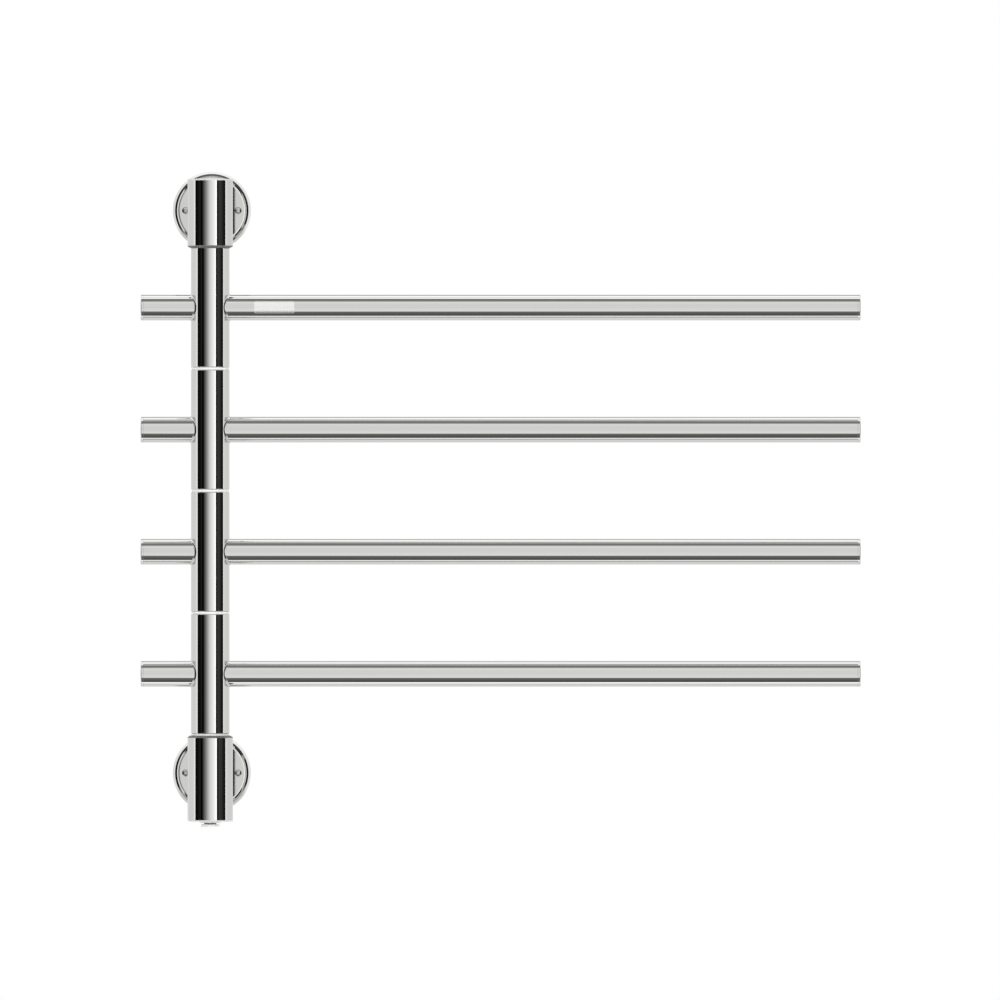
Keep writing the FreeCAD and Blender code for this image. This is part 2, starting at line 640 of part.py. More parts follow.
def wall_plate(label, level):
    """A turned rosette with a bevelled edge, a shallow groove inside it and two screw holes."""
    plate_r = "(dims.plate_diameter / 2)"
    face = "-dims.plate_thickness"
    crest = "(%s - dims.rim_rise)" % face
    crest_r = "(%s - dims.rim_width)" % plate_r
    floor_end = "(%s - dims.groove_bevel)" % crest_r
    roll_end = "(%s - dims.groove_floor)" % floor_end
    roll_start = "(%s - dims.groove_roll)" % roll_end
    roll_rest = "sqrt(dims.groove_roll_radius ^ 2 - dims.groove_roll ^ 2)"
    deepest = "(%s + dims.groove_roll_radius - %s)" % (face, roll_rest)
    corners = [
        ("0", face),
        (roll_start, face, "dims.groove_roll_radius"),
        (roll_end, deepest),
        (floor_end, deepest + " - dims.groove_lift"),
        (crest_r, crest),
        (plate_r, crest + " + dims.rim_fall"),
        (plate_r, "0"),
        ("0", "0"),
    ]
    body = turned_piece(label, "XY_Plane", corners, "V_Axis", ("0", "0", level))
    holes = sketch_on(body, "XZ_Plane", "screw_holes")
    radius = "dims.screw_shank_diameter / 2 + dims.screw_hole_clearance"
    for side in ("-", ""):
        circle(holes, side + "dims.screw_offset", "0", radius)
    return pocket(body, holes, "dims.plate_thickness", onwards=True)


def neck(label, level):
    """The tube from a wall plate to its housing, cut to sit on the housing."""
    base = ("0", AXIS_Y, level)
    tube = ring(label + "_tube", NECK_R, NECK_BORE, "dims.standoff - dims.plate_thickness", base, ALONG_Y)
    saddle = cylinder(
        label + "_saddle",
        "%s + dims.press_clearance" % HOUSING_R,
        "2 * dims.neck_diameter",
        ("0", AXIS_Y, "%s - dims.neck_diameter" % level),
    )
    return cut(label, tube, saddle)


def housing(label, length, base, rotation, depth, cable_port):
    """A turned cup at an end of the column, open at the lid's side; depth is its mouth's."""
    corners = [
        (MOUTH_R, SEAL_SEAT),
        (HOUSING_R, SEAL_SEAT),
        (HOUSING_R, length),
        (HOUSING_BORE, length),
        (HOUSING_BORE, ANCHOR_FOOT),
        (CORE_SEAT, ANCHOR_FOOT),
        (CORE_SEAT, depth),
        (MOUTH_R, depth),
    ]
    body = turned_piece(label, "XZ_Plane", corners, "V_Axis", base, rotation)
    round_edges(body, "dims.housing_edge_round", HOUSING_R, SEAL_SEAT)
    hole = sketch_on(body, "XZ_Plane", "set_screw_hole")
    circle(hole, "0", SET_SCREW_LEVEL, SET_SCREW_R)
    pocket(body, hole, HOUSING_R)
    if cable_port:
        port = sketch_on(body, "XZ_Plane", "cable_port")
        circle(port, "0", NECK_LEVEL, "dims.cable_port_diameter / 2")
        pocket(body, port, HOUSING_R)
    return body


def mouth_seal(label, base, rotation):
    """A conical ring on the end of a housing that closes the joint with the hub."""
    inner = "(%s + dims.press_clearance)" % MOUTH_R
    corners = [
        (inner, "0"),
        (inner + " + dims.seal_lip", "0"),
        (HOUSING_R, "dims.seal_height - dims.seal_edge"),
        (HOUSING_R, "dims.seal_height"),
        (inner, "dims.seal_height"),
    ]
    return turned_piece(label, "XZ_Plane", corners, "V_Axis", base, rotation)


def anchor(label, base, rotation):
    """A block pressed into a housing that grips the core tube and lets the trunk cable out."""
    step = "(dims.anchor_length - dims.anchor_floor)"
    corners = [
        ("0", step),
        (CORE_SEAT, step),
        (CORE_SEAT, "0"),
        (ANCHOR_R, "0"),
        (ANCHOR_R, "dims.anchor_length"),
        ("0", "dims.anchor_length"),
    ]
    body = turned_piece(label, "XZ_Plane", corners, "V_Axis", base, rotation)
    hole = sketch_on(body, "XZ_Plane", "set_screw_hole")
    circle(hole, "0", "dims.anchor_length / 2", SET_SCREW_R)
    pocket(body, hole, HOUSING_BORE)
    passage = sketch_on(body, "XY_Plane", "cable_hole")
    circle(passage, "0", TRUNK_Y, "%s + dims.seat_gap" % TRUNK_R)
    return pocket(body, passage, "dims.anchor_length", onwards=True)


def set_screw(label, level):
    """A headless screw with a hexagon socket, driven from the back of a housing."""
    inner = "(%s + dims.press_clearance)" % CORE_SEAT
    length = "(%s - dims.set_screw_recess - %s)" % (HOUSING_R, inner)
    radius = "%s - dims.press_clearance" % SET_SCREW_R
    foot = "%s + %s" % (AXIS_Y, inner)
    shank = cylinder(label + "_shank", radius, length, ("0", foot, level), ALONG_Y)
    socket = doc.addObject("Part::Prism", label + "_socket")
    socket.Polygon = 6
    socket.setExpression("Circumradius", "dims.set_screw_socket / sqrt(3)")
    socket.setExpression("Height", "%s / 2" % length)
    place(socket, ("0", "%s + %s / 2" % (foot, length), level), ALONG_Y)
    return cut(label, shank, socket)


def lid(label, inside, crown, base, rotation):
    """A domed lid that plugs the housing; inside lists its inner corners, crown those after its dome."""
    spigot = "(%s - dims.press_clearance)" % HOUSING_BORE
    spigot_bore = "(%s - dims.lid_spigot_wall)" % spigot
    corners = inside + [
        (spigot_bore, "-dims.lid_floor"),
        (spigot_bore, "-dims.lid_spigot"),
        (spigot, "-dims.lid_spigot"),
        (spigot, "0"),
        (HOUSING_R, "0"),
        (HOUSING_R, "dims.lid_rim", "dims.dome_radius"),
    ] + crown
    body = turned_piece(label, "XZ_Plane", corners, "V_Axis", base, rotation)
    rounding = "min(dims.lid_edge_round; %s * dims.lid_rim)" % WALL_SHARE
    return round_edges(body, rounding, HOUSING_R, "dims.lid_rim")


def bottom_lid_inside():
    """The bottom lid's inner face: the button's hole, and a ring round the switch body."""
    boss_bore = "(dims.switch_diameter / 2 + dims.press_clearance)"
    boss_r = "(%s + dims.switch_boss_wall)" % boss_bore
    boss_end = "-(dims.lid_floor + dims.switch_boss)"
    return [
        (COLLAR_BORE, "-dims.lid_floor"),
        (boss_bore, "-dims.lid_floor"),
        (boss_bore, boss_end),
        (boss_r, boss_end),
        (boss_r, "-dims.lid_floor"),
    ]


def wall_screw(label, x, level):
    """A domed wall screw with a cross recess, standing out behind the wall plate."""
    head_r = "(dims.screw_head_diameter / 2)"
    shank_r = "(dims.screw_shank_diameter / 2)"
    thread_r = "(dims.screw_thread_diameter / 2)"
    crown = "sqrt(dims.screw_head_crown ^ 2 - %s ^ 2)" % head_r
    top = "(dims.screw_head_rim + dims.screw_head_crown - %s)" % crown
    wall = "dims.plate_thickness"
    corners = [
        ("0", "-" + top, "dims.screw_head_crown"),
        (head_r, "-dims.screw_head_rim"),
        (head_r, "0"),
        (shank_r, "0"),
        (shank_r, wall),
        (thread_r, wall),
        (thread_r, "%s + dims.screw_length - dims.screw_tip" % wall),
        ("0", "%s + dims.screw_length" % wall),
    ]
    body = turned_piece(label, "XY_Plane", corners, "V_Axis", (x, "-dims.plate_thickness", level))
    long, short = "(dims.cross_length / 2)", "(dims.cross_width / 2)"
    cross = [
        (short, short), (short, long), ("-" + short, long),
        ("-" + short, short), ("-" + long, short), ("-" + long, "-" + short),
        ("-" + short, "-" + short), ("-" + short, "-" + long), (short, "-" + long),
        (short, "-" + short), (long, "-" + short), (long, short),
    ]
    floor = "%s - dims.cross_depth" % top
    recess = outline(sketch_on(body, "XZ_Plane", "cross", floor), cross)
    return pocket(body, recess, "dims.cross_depth", onwards=True)


def supply_grommet():
    """A rubber grommet in the bottom wall plate; its flange lies inside the neck."""
    bore = "(dims.grommet_bore / 2)"
    outer = "(dims.grommet_diameter / 2 - dims.press_clearance)"
    flange = "(%s + dims.grommet_flange)" % outer
    face = "-dims.plate_thickness"
    flange_face = "-(dims.plate_thickness + dims.grommet_flange_thickness)"
    corners = [
        (bore, flange_face),
        (flange, flange_face),
        (flange, face),
        (outer, face),
        (outer, "0"),
        (bore, "0"),
    ]
    return turned_piece("supply_grommet", "XY_Plane", corners, "V_Axis", ("0", "0", "-" + PLATE_LEVEL))


def terminal_block():
    """A three-pole block under the bottom anchor, with screw wells in its front."""
    body = new_body("terminal_block", ("0", AXIS_Y, BLOCK_TOP))
    half = "(dims.block_width / 2)"
    back = "-dims.block_back"
    front = "-(dims.block_back + dims.block_depth)"
    corners = [(half, back), ("-" + half, back), ("-" + half, front), (half, front)]
    solid = body.newObject("PartDesign::Pad", "terminal_block_solid")
    solid.Profile = outline(sketch_on(body, "XY_Plane", "profile"), corners)
    solid.Reversed = True
    solid.setExpression("Length", "dims.block_height")
    doc.recompute()
    wells = sketch_on(body, "XZ_Plane", "wells", "dims.block_back + dims.block_depth - dims.well_depth")
    for step in WELL_STEPS:
        circle(wells, "%d * dims.well_spacing" % step, "-dims.block_height / 2", "dims.well_diameter / 2")
    return pocket(body, wells, "dims.well_depth", onwards=True)


def terminal_screws():
    """Slotless grub screws at the bottom of the terminal block's wells."""
    screws = []
    front = "%s - dims.block_back - dims.block_depth" % AXIS_Y
    start = "%s + dims.well_depth - dims.terminal_screw_length" % front
    radius = "dims.well_diameter / 2 - dims.press_clearance"
    for index, step in enumerate(WELL_STEPS, start=1):
        base = ("%d * dims.well_spacing" % step, start, "%s - dims.block_height / 2" % BLOCK_TOP)
        name = "terminal_screw_%d" % index
        screws.append(cylinder(name, radius, "dims.terminal_screw_length", base, ALONG_Y))
    return group("terminal_screws", screws)


def trunk_cable():
    """The cable up the back of the core tube, from the terminal block to the top splice."""
    body = new_body("trunk_cable", ("0", AXIS_Y, "0"))
    run_level = "(%s - dims.block_height / 2)" % BLOCK_TOP
    top = "(%s - dims.lead_bend - dims.lead_tail - dims.seat_gap)" % ARM_LEVELS[0]
    section = circle(sketch_on(body, "XY_Plane", "section", top), "0", TRUNK_Y, TRUNK_R)
    route = [
        ("-dims.block_back", run_level),
        ("%s - dims.trunk_bend" % TRUNK_Y, run_level, "dims.trunk_bend"),
        (TRUNK_Y, "%s + dims.trunk_bend" % run_level),
        (TRUNK_Y, top),
    ]
    return pipe(body, section, outline(sketch_on(body, "YZ_Plane", "route"), route, closed=False))


def splices():
    """Closed splices on the column axis, one under the tail of each lead."""
    joints = []
    radius = "%s - %s - dims.seat_gap" % (TRUNK_Y, TRUNK_R)
    for index, level in enumerate(ARM_LEVELS, start=1):
        top = "%s - dims.lead_bend - dims.lead_tail - dims.seat_gap" % level
        base = ("0", AXIS_Y, "%s - dims.splice_length" % top)
        joints.append(cylinder("splice_%d" % index, radius, "dims.splice_length", base))
    return group("splices", joints)


def switch_wires():
    """Two short wires from the terminal block down to the switch."""
    wires = []
    top = "(%s - dims.block_height)" % BLOCK_TOP
    foot = "(-%s + dims.lid_floor + dims.switch_height)" % BOTTOM_END
    y = "%s - dims.block_back - dims.wire_diameter" % AXIS_Y
    for side in ("-", ""):
        base = (side + "dims.wire_spacing / 2", y, foot)
        name = "switch_wire_left" if side else "switch_wire_right"
        wires.append(cylinder(name, "dims.wire_diameter / 2", "%s - %s" % (top, foot), base))
    return group("switch_wires", wires)


def earth_post():
    """A brass post under the bottom anchor, which takes the earth wire."""
    radius = "(%s - %s) / 2 - dims.earth_post_margin" % (ANCHOR_R, CORE_SEAT)
    base = (EARTH_X, AXIS_Y, "%s - dims.earth_post_height" % BLOCK_TOP)
    return cylinder("earth_post", radius, "dims.earth_post_height", base)


def earth_wire():
    """A wire from the terminal block's side, round two bends, up to the earth post."""
    wire_r = number("dims.wire_diameter / 2")
    bend = number("dims.earth_bend")
    start_y = number("-(dims.block_back + dims.wire_diameter)")
    low = number("-dims.block_height / 2")
    post_x = number(EARTH_X)
    corners = [
        FreeCAD.Vector(number("-dims.block_width / 2"), start_y, low),
        FreeCAD.Vector(post_x, start_y, low),
        FreeCAD.Vector(post_x, 0, low),
        FreeCAD.Vector(post_x, 0, number("-dims.earth_post_height")),
    ]
    edges = []
    here = corners[0]
    for before, corner, after in zip(corners, corners[1:], corners[2:]):
        back = (before - corner).normalize() * bend
        onward = (after - corner).normalize() * bend
        middle = corner + (back + onward) * (1 - math.sqrt(0.5))
        edges.append(Part.LineSegment(here, corner + back).toShape())
        edges.append(Part.Arc(corner + back, middle, corner + onward).toShape())
        here = corner + onward
    edges.append(Part.LineSegment(here, corners[-1]).toShape())
    path = Part.Wire(edges)
    section = Part.Wire(Part.makeCircle(wire_r, corners[0], FreeCAD.Vector(1, 0, 0)))
    solid = path.makePipeShell([section], True, False)
    expected = math.pi * wire_r ** 2 * path.Length
    print("earth wire: volume %.2f, section times length %.2f" % (solid.Volume, expected))
    wire = doc.addObject("Part::Feature", "earth_wire")
    wire.Shape = solid
    return place(wire, ("0", AXIS_Y, BLOCK_TOP))


def switch_body():
    """The switch's moulded body on the bottom lid, with a bore for the collar and its spring."""
    radius = "(dims.switch_diameter / 2)"
    top = "-(dims.lid_floor + dims.switch_height)"
    corners = [
        ("0", top),
        (radius, top),
        (radius, "-dims.lid_floor"),
        (SWITCH_BORE, "-dims.lid_floor"),
        (SWITCH_BORE, SWITCH_BORE_END),
        ("0", SWITCH_BORE_END),
    ]
    return turned_piece("switch_body", "XZ_Plane", corners, "V_Axis", LID_BASE, HANGING)


def switch_bezel():
    """The pale ring on the bottom lid through which the button works."""
    corners = [
        (COLLAR_BORE, BEZEL_BASE),
        (BEZEL_R, BEZEL_BASE),
        (BEZEL_R, BEZEL_END),
        (COLLAR_BORE, BEZEL_END),
    ]
    body = turned_piece("switch_bezel", "XZ_Plane", corners, "V_Axis", LID_BASE, HANGING)
    rounding = "min(dims.bezel_edge_round; %s * dims.bezel_thickness)" % DISC_SHARE
    return round_edges(body, rounding, BEZEL_R, BEZEL_END)


def switch_button():
    """The push button: a disc with rounded edges on a stem."""
    stem_r = "(dims.stem_diameter / 2)"
    disc_r = "(dims.button_diameter / 2)"
    stem_top = "%s - dims.stem_length" % BUTTON_TOP
    disc_end = "%s + dims.button_thickness" % BUTTON_TOP
    corners = [
        ("0", stem_top),
        (stem_r, stem_top),
        (stem_r, BUTTON_TOP),
        (disc_r, BUTTON_TOP),
        (disc_r, disc_end),
        ("0", disc_end),
    ]
    body = turned_piece("switch_button", "XZ_Plane", corners, "V_Axis", LID_BASE, HANGING)
    rounding = "min(dims.button_edge_round; %s * dims.button_thickness)" % DISC_SHARE
    return round_edges(body, rounding, disc_r)


def button_collar():
    """The red light-guide collar on the button's stem."""
    inner = "(dims.stem_diameter / 2 + dims.press_clearance)"
    outer = "(dims.collar_diameter / 2)"
    corners = [
        (inner, COLLAR_TOP),
        (FLANGE_R, COLLAR_TOP),
        (FLANGE_R, COLLAR_SHOULDER),
        (outer, COLLAR_SHOULDER),
        (outer, BUTTON_TOP),
        (inner, BUTTON_TOP),
    ]
    return turned_piece("button_collar", "XZ_Plane", corners, "V_Axis", LID_BASE, HANGING)


def return_spring():
    """A coil spring between the collar and the end of the switch's bore."""
    wire_r = number("dims.spring_wire / 2")
    coil_r = number(SPRING_R)
    turns = number("dims.spring_turns")
    height = number("%s - dims.spring_wire / 2 - dims.end_play - %s" % (COLLAR_TOP, SPRING_END))
    pitch = height / turns
    coil = Part.makeHelix(pitch, height, coil_r)
    heading = FreeCAD.Vector(0, 2 * math.pi * coil_r, pitch)
    section = Part.Wire(Part.makeCircle(wire_r, FreeCAD.Vector(coil_r, 0, 0), heading))
    solid = Part.Wire(coil.Edges).makePipeShell([section], True, True)
    print("return spring: gap between turns %.2f" % (pitch - 2 * wire_r))
    spring = doc.addObject("Part::Feature", "return_spring")
    spring.Shape = solid
    return place(spring, ("0", AXIS_Y, "-%s - %s" % (BOTTOM_END, SPRING_END)), HANGING)


def indicator_lamp():
    """A small lamp at the end of the switch's bore that lights the collar."""
    base = ("0", AXIS_Y, "-%s - %s" % (BOTTOM_END, SWITCH_BORE_END))
    return cylinder("indicator_lamp", "dims.lamp_diameter / 2", "dims.lamp_height", base, HANGING)


def brackets():
    """Wall plates, necks, housings, seals, anchors, lids and their screws."""
    screws = []
    set_screws = []
    seals = []
    for name, sign, rotation, length, depth in (
        ("top", "", UPRIGHT, TOP_LENGTH, "dims.mouth_depth + dims.stack_rise"),
        ("bottom", "-", HANGING, BOTTOM_LENGTH, "dims.mouth_depth - dims.stack_rise"),
    ):
        bottom = rotation is HANGING
        level = sign + PLATE_LEVEL
        plate = wall_plate(name + "_wall_plate", level)
        if bottom:
            hole = circle(sketch_on(plate, "XZ_Plane", "cable_hole"), "0", "0", "dims.grommet_diameter / 2")
            pocket(plate, hole, "dims.plate_thickness", onwards=True)
        keep(plate)
        keep(neck(name + "_neck", level))
        mouth = ("0", AXIS_Y, sign + MOUTH_EDGE)
        keep(housing(name + "_housing", length, mouth, rotation, depth, bottom))
        seals.append(mouth_seal(name + "_mouth_seal", mouth, rotation))
        foot = "%s(%s + %s)" % (sign, MOUTH_EDGE, ANCHOR_FOOT)
        keep(anchor(name + "_anchor", ("0", AXIS_Y, foot), rotation))
        end = ("0", AXIS_Y, "%s(%s + %s)" % (sign, MOUTH_EDGE, length))
        if bottom:
            seat = [(BEZEL_R, BEZEL_SEAT), (COLLAR_BORE, BEZEL_SEAT)]
            keep(lid(name + "_lid", bottom_lid_inside(), seat, end, rotation))
        else:
            keep(lid(name + "_lid", [("0", "-dims.lid_floor")], [("0", CROWN)], end, rotation))
        set_level = "%s(%s + %s)" % (sign, MOUTH_EDGE, SET_SCREW_LEVEL)
        set_screws.append(set_screw(name + "_set_screw", set_level))
        for side in ("-", ""):
            label = "%s_%s_wall_screw" % (name, "left" if side else "right")
            screws.append(wall_screw(label, side + "dims.screw_offset", level))
    keep(group("mouth_seals", seals))
    keep(group("set_screws", set_screws))
    keep(group("wall_screws", screws))


def export():
    """Checks every object and writes each sub-part to its own file."""
    doc.recompute()
    failed = [o.Name for o in doc.Objects if "Invalid" in o.State or "Error" in o.State]
    if failed:
        raise RuntimeError("failed objects: %s" % ", ".join(failed))
    for piece in pieces:
        if piece.Shape.isNull() or not piece.Shape.isValid():
            raise RuntimeError("%s has no valid shape" % piece.Label)
    os.makedirs("parts", exist_ok=True)
    for piece in pieces:
        piece.Shape.exportStep(os.path.join("parts", piece.Label + ".step"))
        print("%-22s solids %d  volume %.1f" % (piece.Label, len(piece.Shape.Solids), piece.Shape.Volume))
    print("%d sub-parts" % len(pieces))


for arm_index, arm_level in enumerate(ARM_LEVELS, start=1):
    arm(arm_index, arm_level)
keep(blank_plate("arm_1_blank_plate", ARM_LEVELS[0]))
keep(core_tube())
keep(stop_pins())
keep(thrust_washers())
brackets()
keep(supply_grommet())
keep(terminal_block())
keep(terminal_screws())
keep(trunk_cable())
keep(splices())
keep(switch_wires())
keep(earth_post())
keep(earth_wire())
keep(switch_body())
keep(switch_bezel())
keep(switch_button())
keep(button_collar())
keep(return_spring())
keep(indicator_lamp())
export()
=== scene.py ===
# %% [markdown]
# # A heated towel rail with swing arms
#
# The rail is a column of four chromed hubs between two wall brackets. Each hub carries a long
# heated bar and a short stub, and turns on a tube inside the column. The exact shapes come from
# a CAD model, which is loaded first and never moved. This lesson gives it what CAD lacks: the
# finish of every surface, brazed joints, cut threads, a studio to mirror, and a camera.

# %% Load the CAD model
import math

import bmesh
import bpy
from mathutils import Matrix, Vector


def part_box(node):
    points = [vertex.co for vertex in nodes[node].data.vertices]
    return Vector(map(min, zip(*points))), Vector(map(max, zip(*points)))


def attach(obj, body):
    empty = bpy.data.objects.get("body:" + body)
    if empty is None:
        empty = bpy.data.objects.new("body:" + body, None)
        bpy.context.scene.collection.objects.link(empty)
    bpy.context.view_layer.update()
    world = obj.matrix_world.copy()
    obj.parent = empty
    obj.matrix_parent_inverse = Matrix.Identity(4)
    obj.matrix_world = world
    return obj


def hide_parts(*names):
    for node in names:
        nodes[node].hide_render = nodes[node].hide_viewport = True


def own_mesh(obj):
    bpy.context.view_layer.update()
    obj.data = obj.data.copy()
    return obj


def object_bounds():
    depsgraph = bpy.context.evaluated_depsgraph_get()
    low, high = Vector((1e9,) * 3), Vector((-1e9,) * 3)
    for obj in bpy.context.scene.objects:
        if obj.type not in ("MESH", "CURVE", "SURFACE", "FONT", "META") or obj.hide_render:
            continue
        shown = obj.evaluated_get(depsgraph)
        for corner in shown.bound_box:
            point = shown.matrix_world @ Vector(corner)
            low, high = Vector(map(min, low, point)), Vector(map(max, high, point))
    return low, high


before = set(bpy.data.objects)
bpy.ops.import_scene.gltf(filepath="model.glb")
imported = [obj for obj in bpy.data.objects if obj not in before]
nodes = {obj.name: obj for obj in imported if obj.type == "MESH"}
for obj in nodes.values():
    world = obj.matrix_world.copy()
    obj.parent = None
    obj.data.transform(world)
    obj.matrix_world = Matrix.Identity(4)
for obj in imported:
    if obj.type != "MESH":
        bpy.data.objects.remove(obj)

MM = 0.001
cad_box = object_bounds()
cad_size = (cad_box[1] - cad_box[0]) / MM
print("CAD model: %d nodes, %.0f x %.0f x %.0f mm" % (len(nodes), *cad_size))

# %% [markdown]
# ## Colours and nodes
#
# Colours are given as sRGB hex values, but shaders add light in linear values, so one
# function turns the first into the second. A second function adds a shader node, sets its
# properties and fills its sockets: a socket takes a plain value, or another node's output.
# Every pattern below is drawn in object space. A CAD node's own space is in metres, so a
# feature of so many millimetres has a scale of one over its size. Pattern sizes are written in
# millimetres, and sizes of shapes are turned into metres on the spot, by MM.


# %% Colour and node helpers
def linear(hex_colour):
    """The linear RGBA of an sRGB hex colour such as #CFCFCD."""
    shares = [int(hex_colour[i:i + 2], 16) / 255 for i in (1, 3, 5)]
    return [s / 12.92 if s <= 0.04045 else ((s + 0.055) / 1.055) ** 2.4 for s in shares] + [1.0]


def add_node(tree, kind, inputs=None, **settings):
    """Adds a node, sets its properties, and sets or links its inputs."""
    made = tree.nodes.new(kind)
    for name, value in settings.items():
        setattr(made, name, value)
    for key, value in (inputs or {}).items():
        if isinstance(value, bpy.types.NodeSocket):
            tree.links.new(value, made.inputs[key])
        else:
            made.inputs[key].default_value = value
    return made


def new_material(name, **sockets):
    """A material of one Principled shader, with its constant sockets set."""
    material = bpy.data.materials.new(name)
    material.use_nodes = True
    tree = material.node_tree
    tree.nodes.clear()
    inputs = {key.replace("_", " "): value for key, value in sockets.items()}
    shader = add_node(tree, "ShaderNodeBsdfPrincipled", inputs)
    add_node(tree, "ShaderNodeOutputMaterial", {"Surface": shader.outputs["BSDF"]})
    return material, tree, shader


def per_metre(size_mm):
    """The texture scale that gives a feature of this size."""
    return 1 / (size_mm * MM)


print("helpers ready; mid grey #808080 is linear %.3f" % linear("#808080")[0])

# %% [markdown]
# ## Polished chrome plate
#
# The tubes are steel with a bright chrome plating over polished nickel. It mirrors the room, so
# its look comes from what stands around it, and the shader stays simple: a metal that returns
# about six tenths of the light. Left alone, the shader's metal mirrors far more at a slant. Real
# chromium mirrors even a little less there, until the very edge, so a tint holds the slanted
# light back. It shows in the corners between two tubes, which mirror the room twice and look
# grey. Two flaws keep the plating from being a perfect mirror. Buffing leaves a faint haze in
# patches, which changes the roughness, and the tube's wall is never quite true, which bends the
# reflections by a hair. Pictures of real plating could give both, but a noise in object space
# needs no unwrapping and has its size in millimetres.

# %% Chrome
CHROME = "#CFCFCD"
CHROME_SLANT = "#DADADA"
HAZE_PATCH = 18
HAZE_NOISE_LOW = 0.35
HAZE_NOISE_HIGH = 0.65
HAZE_ROUGH_LOW = 0.03
HAZE_ROUGH_HIGH = 0.055
WALL_WAVE = 60
WALL_WAVE_HEIGHT = 0.03


def chrome_plate(name):
    """Chrome plating: a mirror with a patchy buffing haze and a slightly uneven wall."""
    material, tree, shader = new_material(
        name, Base_Color=linear(CHROME), Metallic=1.0, Specular_Tint=linear(CHROME_SLANT))
    place = add_node(tree, "ShaderNodeTexCoord").outputs["Object"]
    haze = add_node(tree, "ShaderNodeTexNoise", {
        "Vector": place, "Scale": per_metre(HAZE_PATCH), "Detail": 3.0,
    })
    roughness = add_node(tree, "ShaderNodeMapRange", {
        "Value": haze.outputs["Fac"], "From Min": HAZE_NOISE_LOW, "From Max": HAZE_NOISE_HIGH,
        "To Min": HAZE_ROUGH_LOW, "To Max": HAZE_ROUGH_HIGH,
    })
    wave = add_node(tree, "ShaderNodeTexNoise", {
        "Vector": place, "Scale": per_metre(WALL_WAVE), "Detail": 0.0,
    })
    bump = add_node(tree, "ShaderNodeBump", {
        "Height": wave.outputs["Fac"], "Distance": WALL_WAVE_HEIGHT * MM, "Strength": 1.0,
    })
    tree.links.new(roughness.outputs["Result"], shader.inputs["Roughness"])
    tree.links.new(bump.outputs["Normal"], shader.inputs["Normal"])
    return material, tree, shader, place, roughness


finishes = {"chrome": chrome_plate("Chrome plate, polished")[0]}
print("chrome: haze in patches of %d mm" % HAZE_PATCH)

# %% [markdown]
# ## Wall plates
#
# A wall plate is turned from solid brass and plated like the tubes, but nobody polishes the face
# that lies on the wall. There the plating follows the rings of the turning tool and looks satin.
# A second material could be given to that face, if it were picked out by hand. But the
# object-space normal tells it from the rest, so one material covers the plate: the same chrome,
# with its roughness raised where the surface looks into the wall. The rings are a
# one-dimensional noise of the distance from the plate's axis, whose height is the middle of the
# plate's CAD box. Real rings are a tenth of a millimetre apart, and are drawn four times as
# coarse so that they show.

# %% Wall plates with a turned back
TOOL_RING = 0.4
RING_NOISE_LOW = 0.3
RING_NOISE_HIGH = 0.7
TURNED_ROUGH_LOW = 0.22
TURNED_ROUGH_HIGH = 0.45
BACK_FACING = 0.9


def middle_of(node, axis):
    """The middle of a CAD node's box along one axis: x, y or z."""
    low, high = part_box(node)
    return (getattr(low, axis) + getattr(high, axis)) / 2


def plate_chrome(name, level):
    """Chrome that is polished on the front and satin, with turned rings, on the wall side."""
    material, tree, shader, place, polished = chrome_plate(name)
    centred = add_node(tree, "ShaderNodeVectorMath", {0: place, 1: (0, 0, -level)}, operation="ADD")
    flat = add_node(tree, "ShaderNodeVectorMath", {
        0: centred.outputs[0], 1: (1, 0, 1),
    }, operation="MULTIPLY")
    reach = add_node(tree, "ShaderNodeVectorMath", {0: flat.outputs[0]}, operation="LENGTH")
    rings = add_node(tree, "ShaderNodeTexNoise", {
        "W": reach.outputs["Value"], "Scale": per_metre(TOOL_RING), "Detail": 2.0,
    }, noise_dimensions="1D")
    turned = add_node(tree, "ShaderNodeMapRange", {
        "Value": rings.outputs["Fac"], "From Min": RING_NOISE_LOW, "From Max": RING_NOISE_HIGH,
        "To Min": TURNED_ROUGH_LOW, "To Max": TURNED_ROUGH_HIGH,
    })
    normal = add_node(tree, "ShaderNodeTexCoord").outputs["Normal"]
    facing = add_node(tree, "ShaderNodeSeparateXYZ", {"Vector": normal})
    back = add_node(tree, "ShaderNodeMath", {
        0: facing.outputs["Y"], 1: BACK_FACING,
    }, operation="GREATER_THAN")
    roughness = add_node(tree, "ShaderNodeMix", {
        "Factor": back.outputs[0], "A": polished.outputs["Result"], "B": turned.outputs["Result"],
    })
    tree.links.new(roughness.outputs["Result"], shader.inputs["Roughness"])
    return material


plate_finishes = {}
for plate in ("top_wall_plate", "bottom_wall_plate"):
    plate_finishes[plate] = plate_chrome("Chrome plate on turned brass, " + plate, middle_of(plate, "z"))
print("wall plates: rings of %.1f mm on their backs" % TOOL_RING)

# %% [markdown]
# ## Turned and drawn metals
#
# Anchors, screws, pins and the earth post come off a lathe, and the tool leaves fine rings along
# the axis of each piece. A one-dimensional noise of the place along that axis gives them. Drawn
# tube and wire have the same fine marks. An anisotropic shader could stretch the highlights
# without any marks, but it needs tangents on every face, and a bump only needs the place. Real
# tool marks are a twentieth of a millimetre apart, and are drawn four times as coarse so that
# they still show in a render.

# %% Turned metals
TOOL_MARK = 0.2
TOOL_MARK_HEIGHT = 0.003


